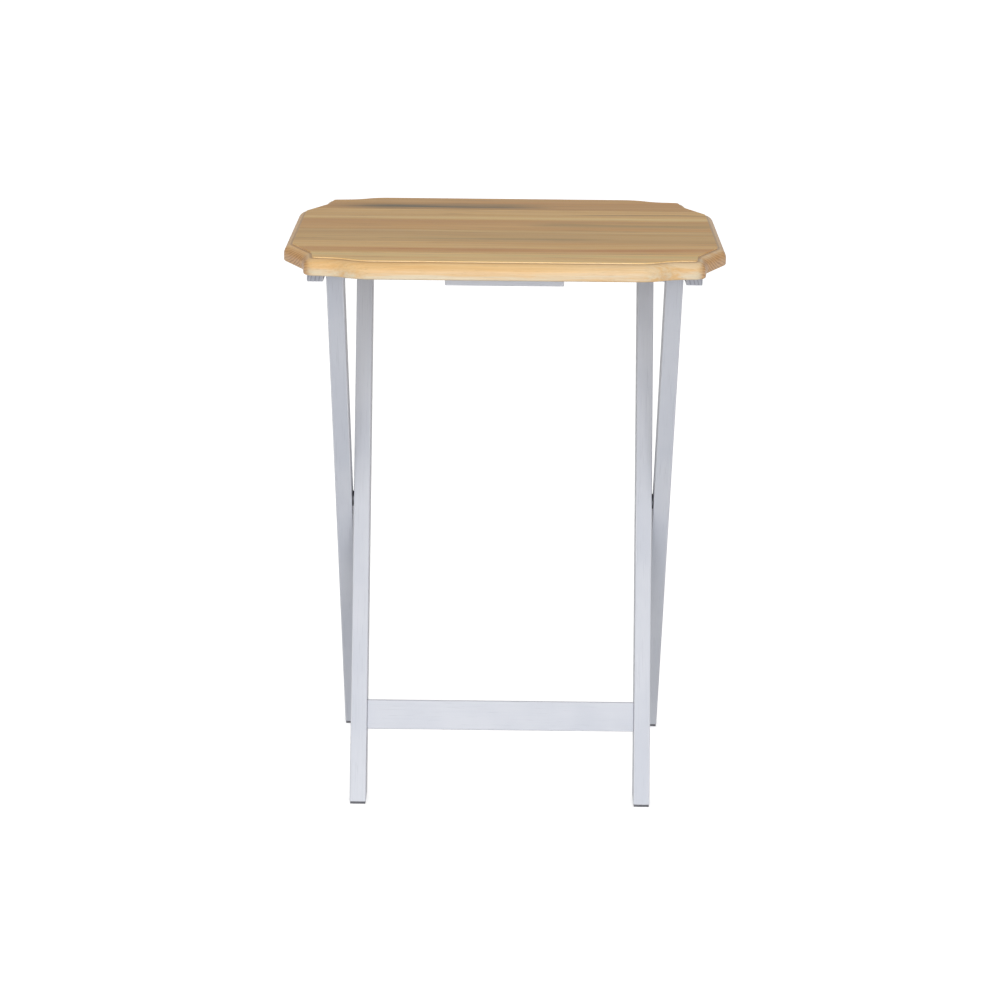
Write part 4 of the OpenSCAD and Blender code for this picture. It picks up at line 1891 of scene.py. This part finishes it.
@dataclass(frozen=True)
class Lamp:
    """A soft square light that looks at the table."""

    name: str
    bearing: float  # degrees round the table, 0 in front and 90 to the left
    height: float  # degrees above the floor
    distance: float
    size: float
    power: float
    colour: Colour = (1.0, 1.0, 1.0)

    def build(self, target: Vector) -> None:
        """Hangs the light and aims it.

        Args:
            target: What it looks at.
        """
        light = bpy.data.lights.new(self.name, "AREA")
        light.size = self.size
        light.energy = self.power
        light.color = self.colour
        made = bpy.data.objects.new(self.name, light)
        bearing, height = math.radians(self.bearing), math.radians(self.height)
        back = Vector(
            (-math.sin(bearing) * math.cos(height), -math.cos(bearing) * math.cos(height), math.sin(height))
        )
        made.location = target + back * self.distance
        made.rotation_euler = (-back).to_track_quat("-Z", "Y").to_euler()
        bpy.context.scene.collection.objects.link(made)


@dataclass(frozen=True)
class Studio:
    """A pale floor, a soft surround and the camera."""

    floor_half: float = 40.0
    dome_radius: float = 30.0
    floor_tone: Colour = (0.94, 0.94, 0.94)
    floor_patch: Colour = (0.926, 0.926, 0.926)
    floor_glow: float = 0.52
    front: float = 1.0
    back: float = 0.60
    side: float = 0.42
    overhead: float = 0.96
    below: float = 0.28
    lens: float = 88.39
    eye: Triple = (0.0084, -2.725, 1.197)
    target: Triple = (-0.0032, 0.0, 0.3397)
    roll: float = 0.546  # degrees
    lamps: tuple[Lamp, ...] = (
        Lamp("key", 0.0, 15.0, 4.0, 1.8, 14.0),
        Lamp("fill", 0.0, 3.0, 4.0, 2.4, 74.0, (0.95, 0.97, 1.0)),
    )

    def floor(self) -> None:
        """Lays the floor, which is clear from below."""
        shape = bmesh.new()
        bmesh.ops.create_grid(shape, x_segments=8, y_segments=8, size=self.floor_half)
        made = new_object("studio_floor", shape)
        s = Shader("studio_floor")
        clouds = s.noise(s.places["Object"], (1.4, 1.4, 1.4), 2.0)
        s.set(
            Base_Color=s.mix(s.fade(clouds, 0.3, 0.7), self.floor_tone, self.floor_patch),
            Roughness=0.9,
            Specular_IOR_Level=0.1,
            Emission_Color=(1.0, 1.0, 1.0),
            Emission_Strength=self.floor_glow,
        )
        clear = s.tree.nodes.new("ShaderNodeBsdfTransparent")
        either = s.tree.nodes.new("ShaderNodeMixShader")
        s.feed(either.inputs[0], s.tree.nodes.new("ShaderNodeNewGeometry").outputs["Backfacing"])
        s.feed(either.inputs[1], s.surface.outputs["BSDF"])
        s.feed(either.inputs[2], clear.outputs[0])
        s.feed(s.output.inputs["Surface"], either.outputs[0])
        made.data.materials.append(s.material)
        made.visible_diffuse = False  # the surround alone lights the table from below

    def backdrop(self) -> None:
        """Hangs a white dome round everything, which lights nothing and is only looked at."""
        shape = bmesh.new()
        bmesh.ops.create_icosphere(shape, subdivisions=4, radius=self.dome_radius)
        made = new_object("studio_backdrop", shape)
        s = Shader("studio_backdrop")
        s.set(Base_Color=(0.0, 0.0, 0.0), Emission_Color=(1.0, 1.0, 1.0), Emission_Strength=1.0)
        s.material.cycles.emission_sampling = "NONE"
        made.data.materials.append(s.material)
        made.visible_diffuse = made.visible_glossy = made.visible_transmission = False
        made.visible_volume_scatter = made.visible_shadow = False

    def surround(self) -> None:
        """Lights the room softly, brightest in front and low, and dim at the sides."""
        world = bpy.data.worlds.new("studio")
        world.use_nodes = True
        bpy.context.scene.world = world
        kit = NodeKit(world.node_tree)
        x, y, z = kit.split(kit.places["Generated"])  # the direction that is looked in, each part -1 to 1
        front = kit.span(y, -0.7, 0.4, self.front, self.back, "SMOOTHSTEP")
        side = kit.span(kit.math("ABSOLUTE", x), 0.35, 0.95, 1.0, self.side, "SMOOTHSTEP")
        over = kit.span(z, 0.3, 1.0, 1.0, self.overhead, "SMOOTHSTEP")
        under = kit.span(z, -0.5, 0.1, self.below, 1.0, "SMOOTHSTEP")
        upright = kit.math("MULTIPLY", over, under)
        glow = kit.tree.nodes.new("ShaderNodeBackground")
        kit.feed(glow.inputs["Strength"], kit.math("MULTIPLY", kit.math("MULTIPLY", front, side), upright))
        glow.inputs["Color"].default_value = (1.0, 1.0, 1.0, 1.0)
        kit.tree.links.new(glow.outputs[0], kit.tree.nodes.new("ShaderNodeOutputWorld").inputs[0])

    def camera(self) -> None:
        """Sets the camera in front of the table and above its top."""
        lens = bpy.data.cameras.new("camera")
        lens.lens = self.lens
        lens.clip_end = 200.0
        made = bpy.data.objects.new("camera", lens)
        eye, target = Vector(self.eye), Vector(self.target)
        turn = (target - eye).to_track_quat("-Z", "Y").to_matrix().to_4x4()
        roll = Matrix.Rotation(math.radians(self.roll), 4, "Z")
        made.matrix_world = Matrix.Translation(eye) @ turn @ roll
        bpy.context.scene.collection.objects.link(made)
        bpy.context.scene.camera = made

    def build(self) -> None:
        """Builds the studio."""
        bpy.context.scene.view_settings.view_transform = "Standard"
        self.floor()
        self.backdrop()
        self.surround()
        for lamp in self.lamps:
            lamp.build(Vector(self.target))
        self.camera()


def frame_nodes() -> list[str]:
    """The names of the frame's nodes."""
    return [o.name for o in bpy.data.objects if "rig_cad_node" in o]


def corners(bounds: tuple[Vector, Vector]) -> list[list[float]]:
    """A box's two corners as plain numbers."""
    return [list(corner) for corner in bounds]


def main() -> None:
    """Builds the table round the frame."""
    logging.basicConfig(level=logging.INFO, format="%(name)s %(message)s")
    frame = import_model()
    joinery = Joinery.from_frame(frame["joints"])
    Tabletop.from_frame().build()
    LegPair(joinery, Body.OUTER, Grain.OUTER_LEG, "outer_top_dowel").build()
    LegPair(joinery, Body.INNER, Grain.INNER_LEG, "inner_top_dowel").build()
    Stretcher(joinery).build()
    TopBlocks(joinery).build()
    Hardware.for_table(joinery).build()
    Studio().build()


if __name__ == "__main__":
    main()
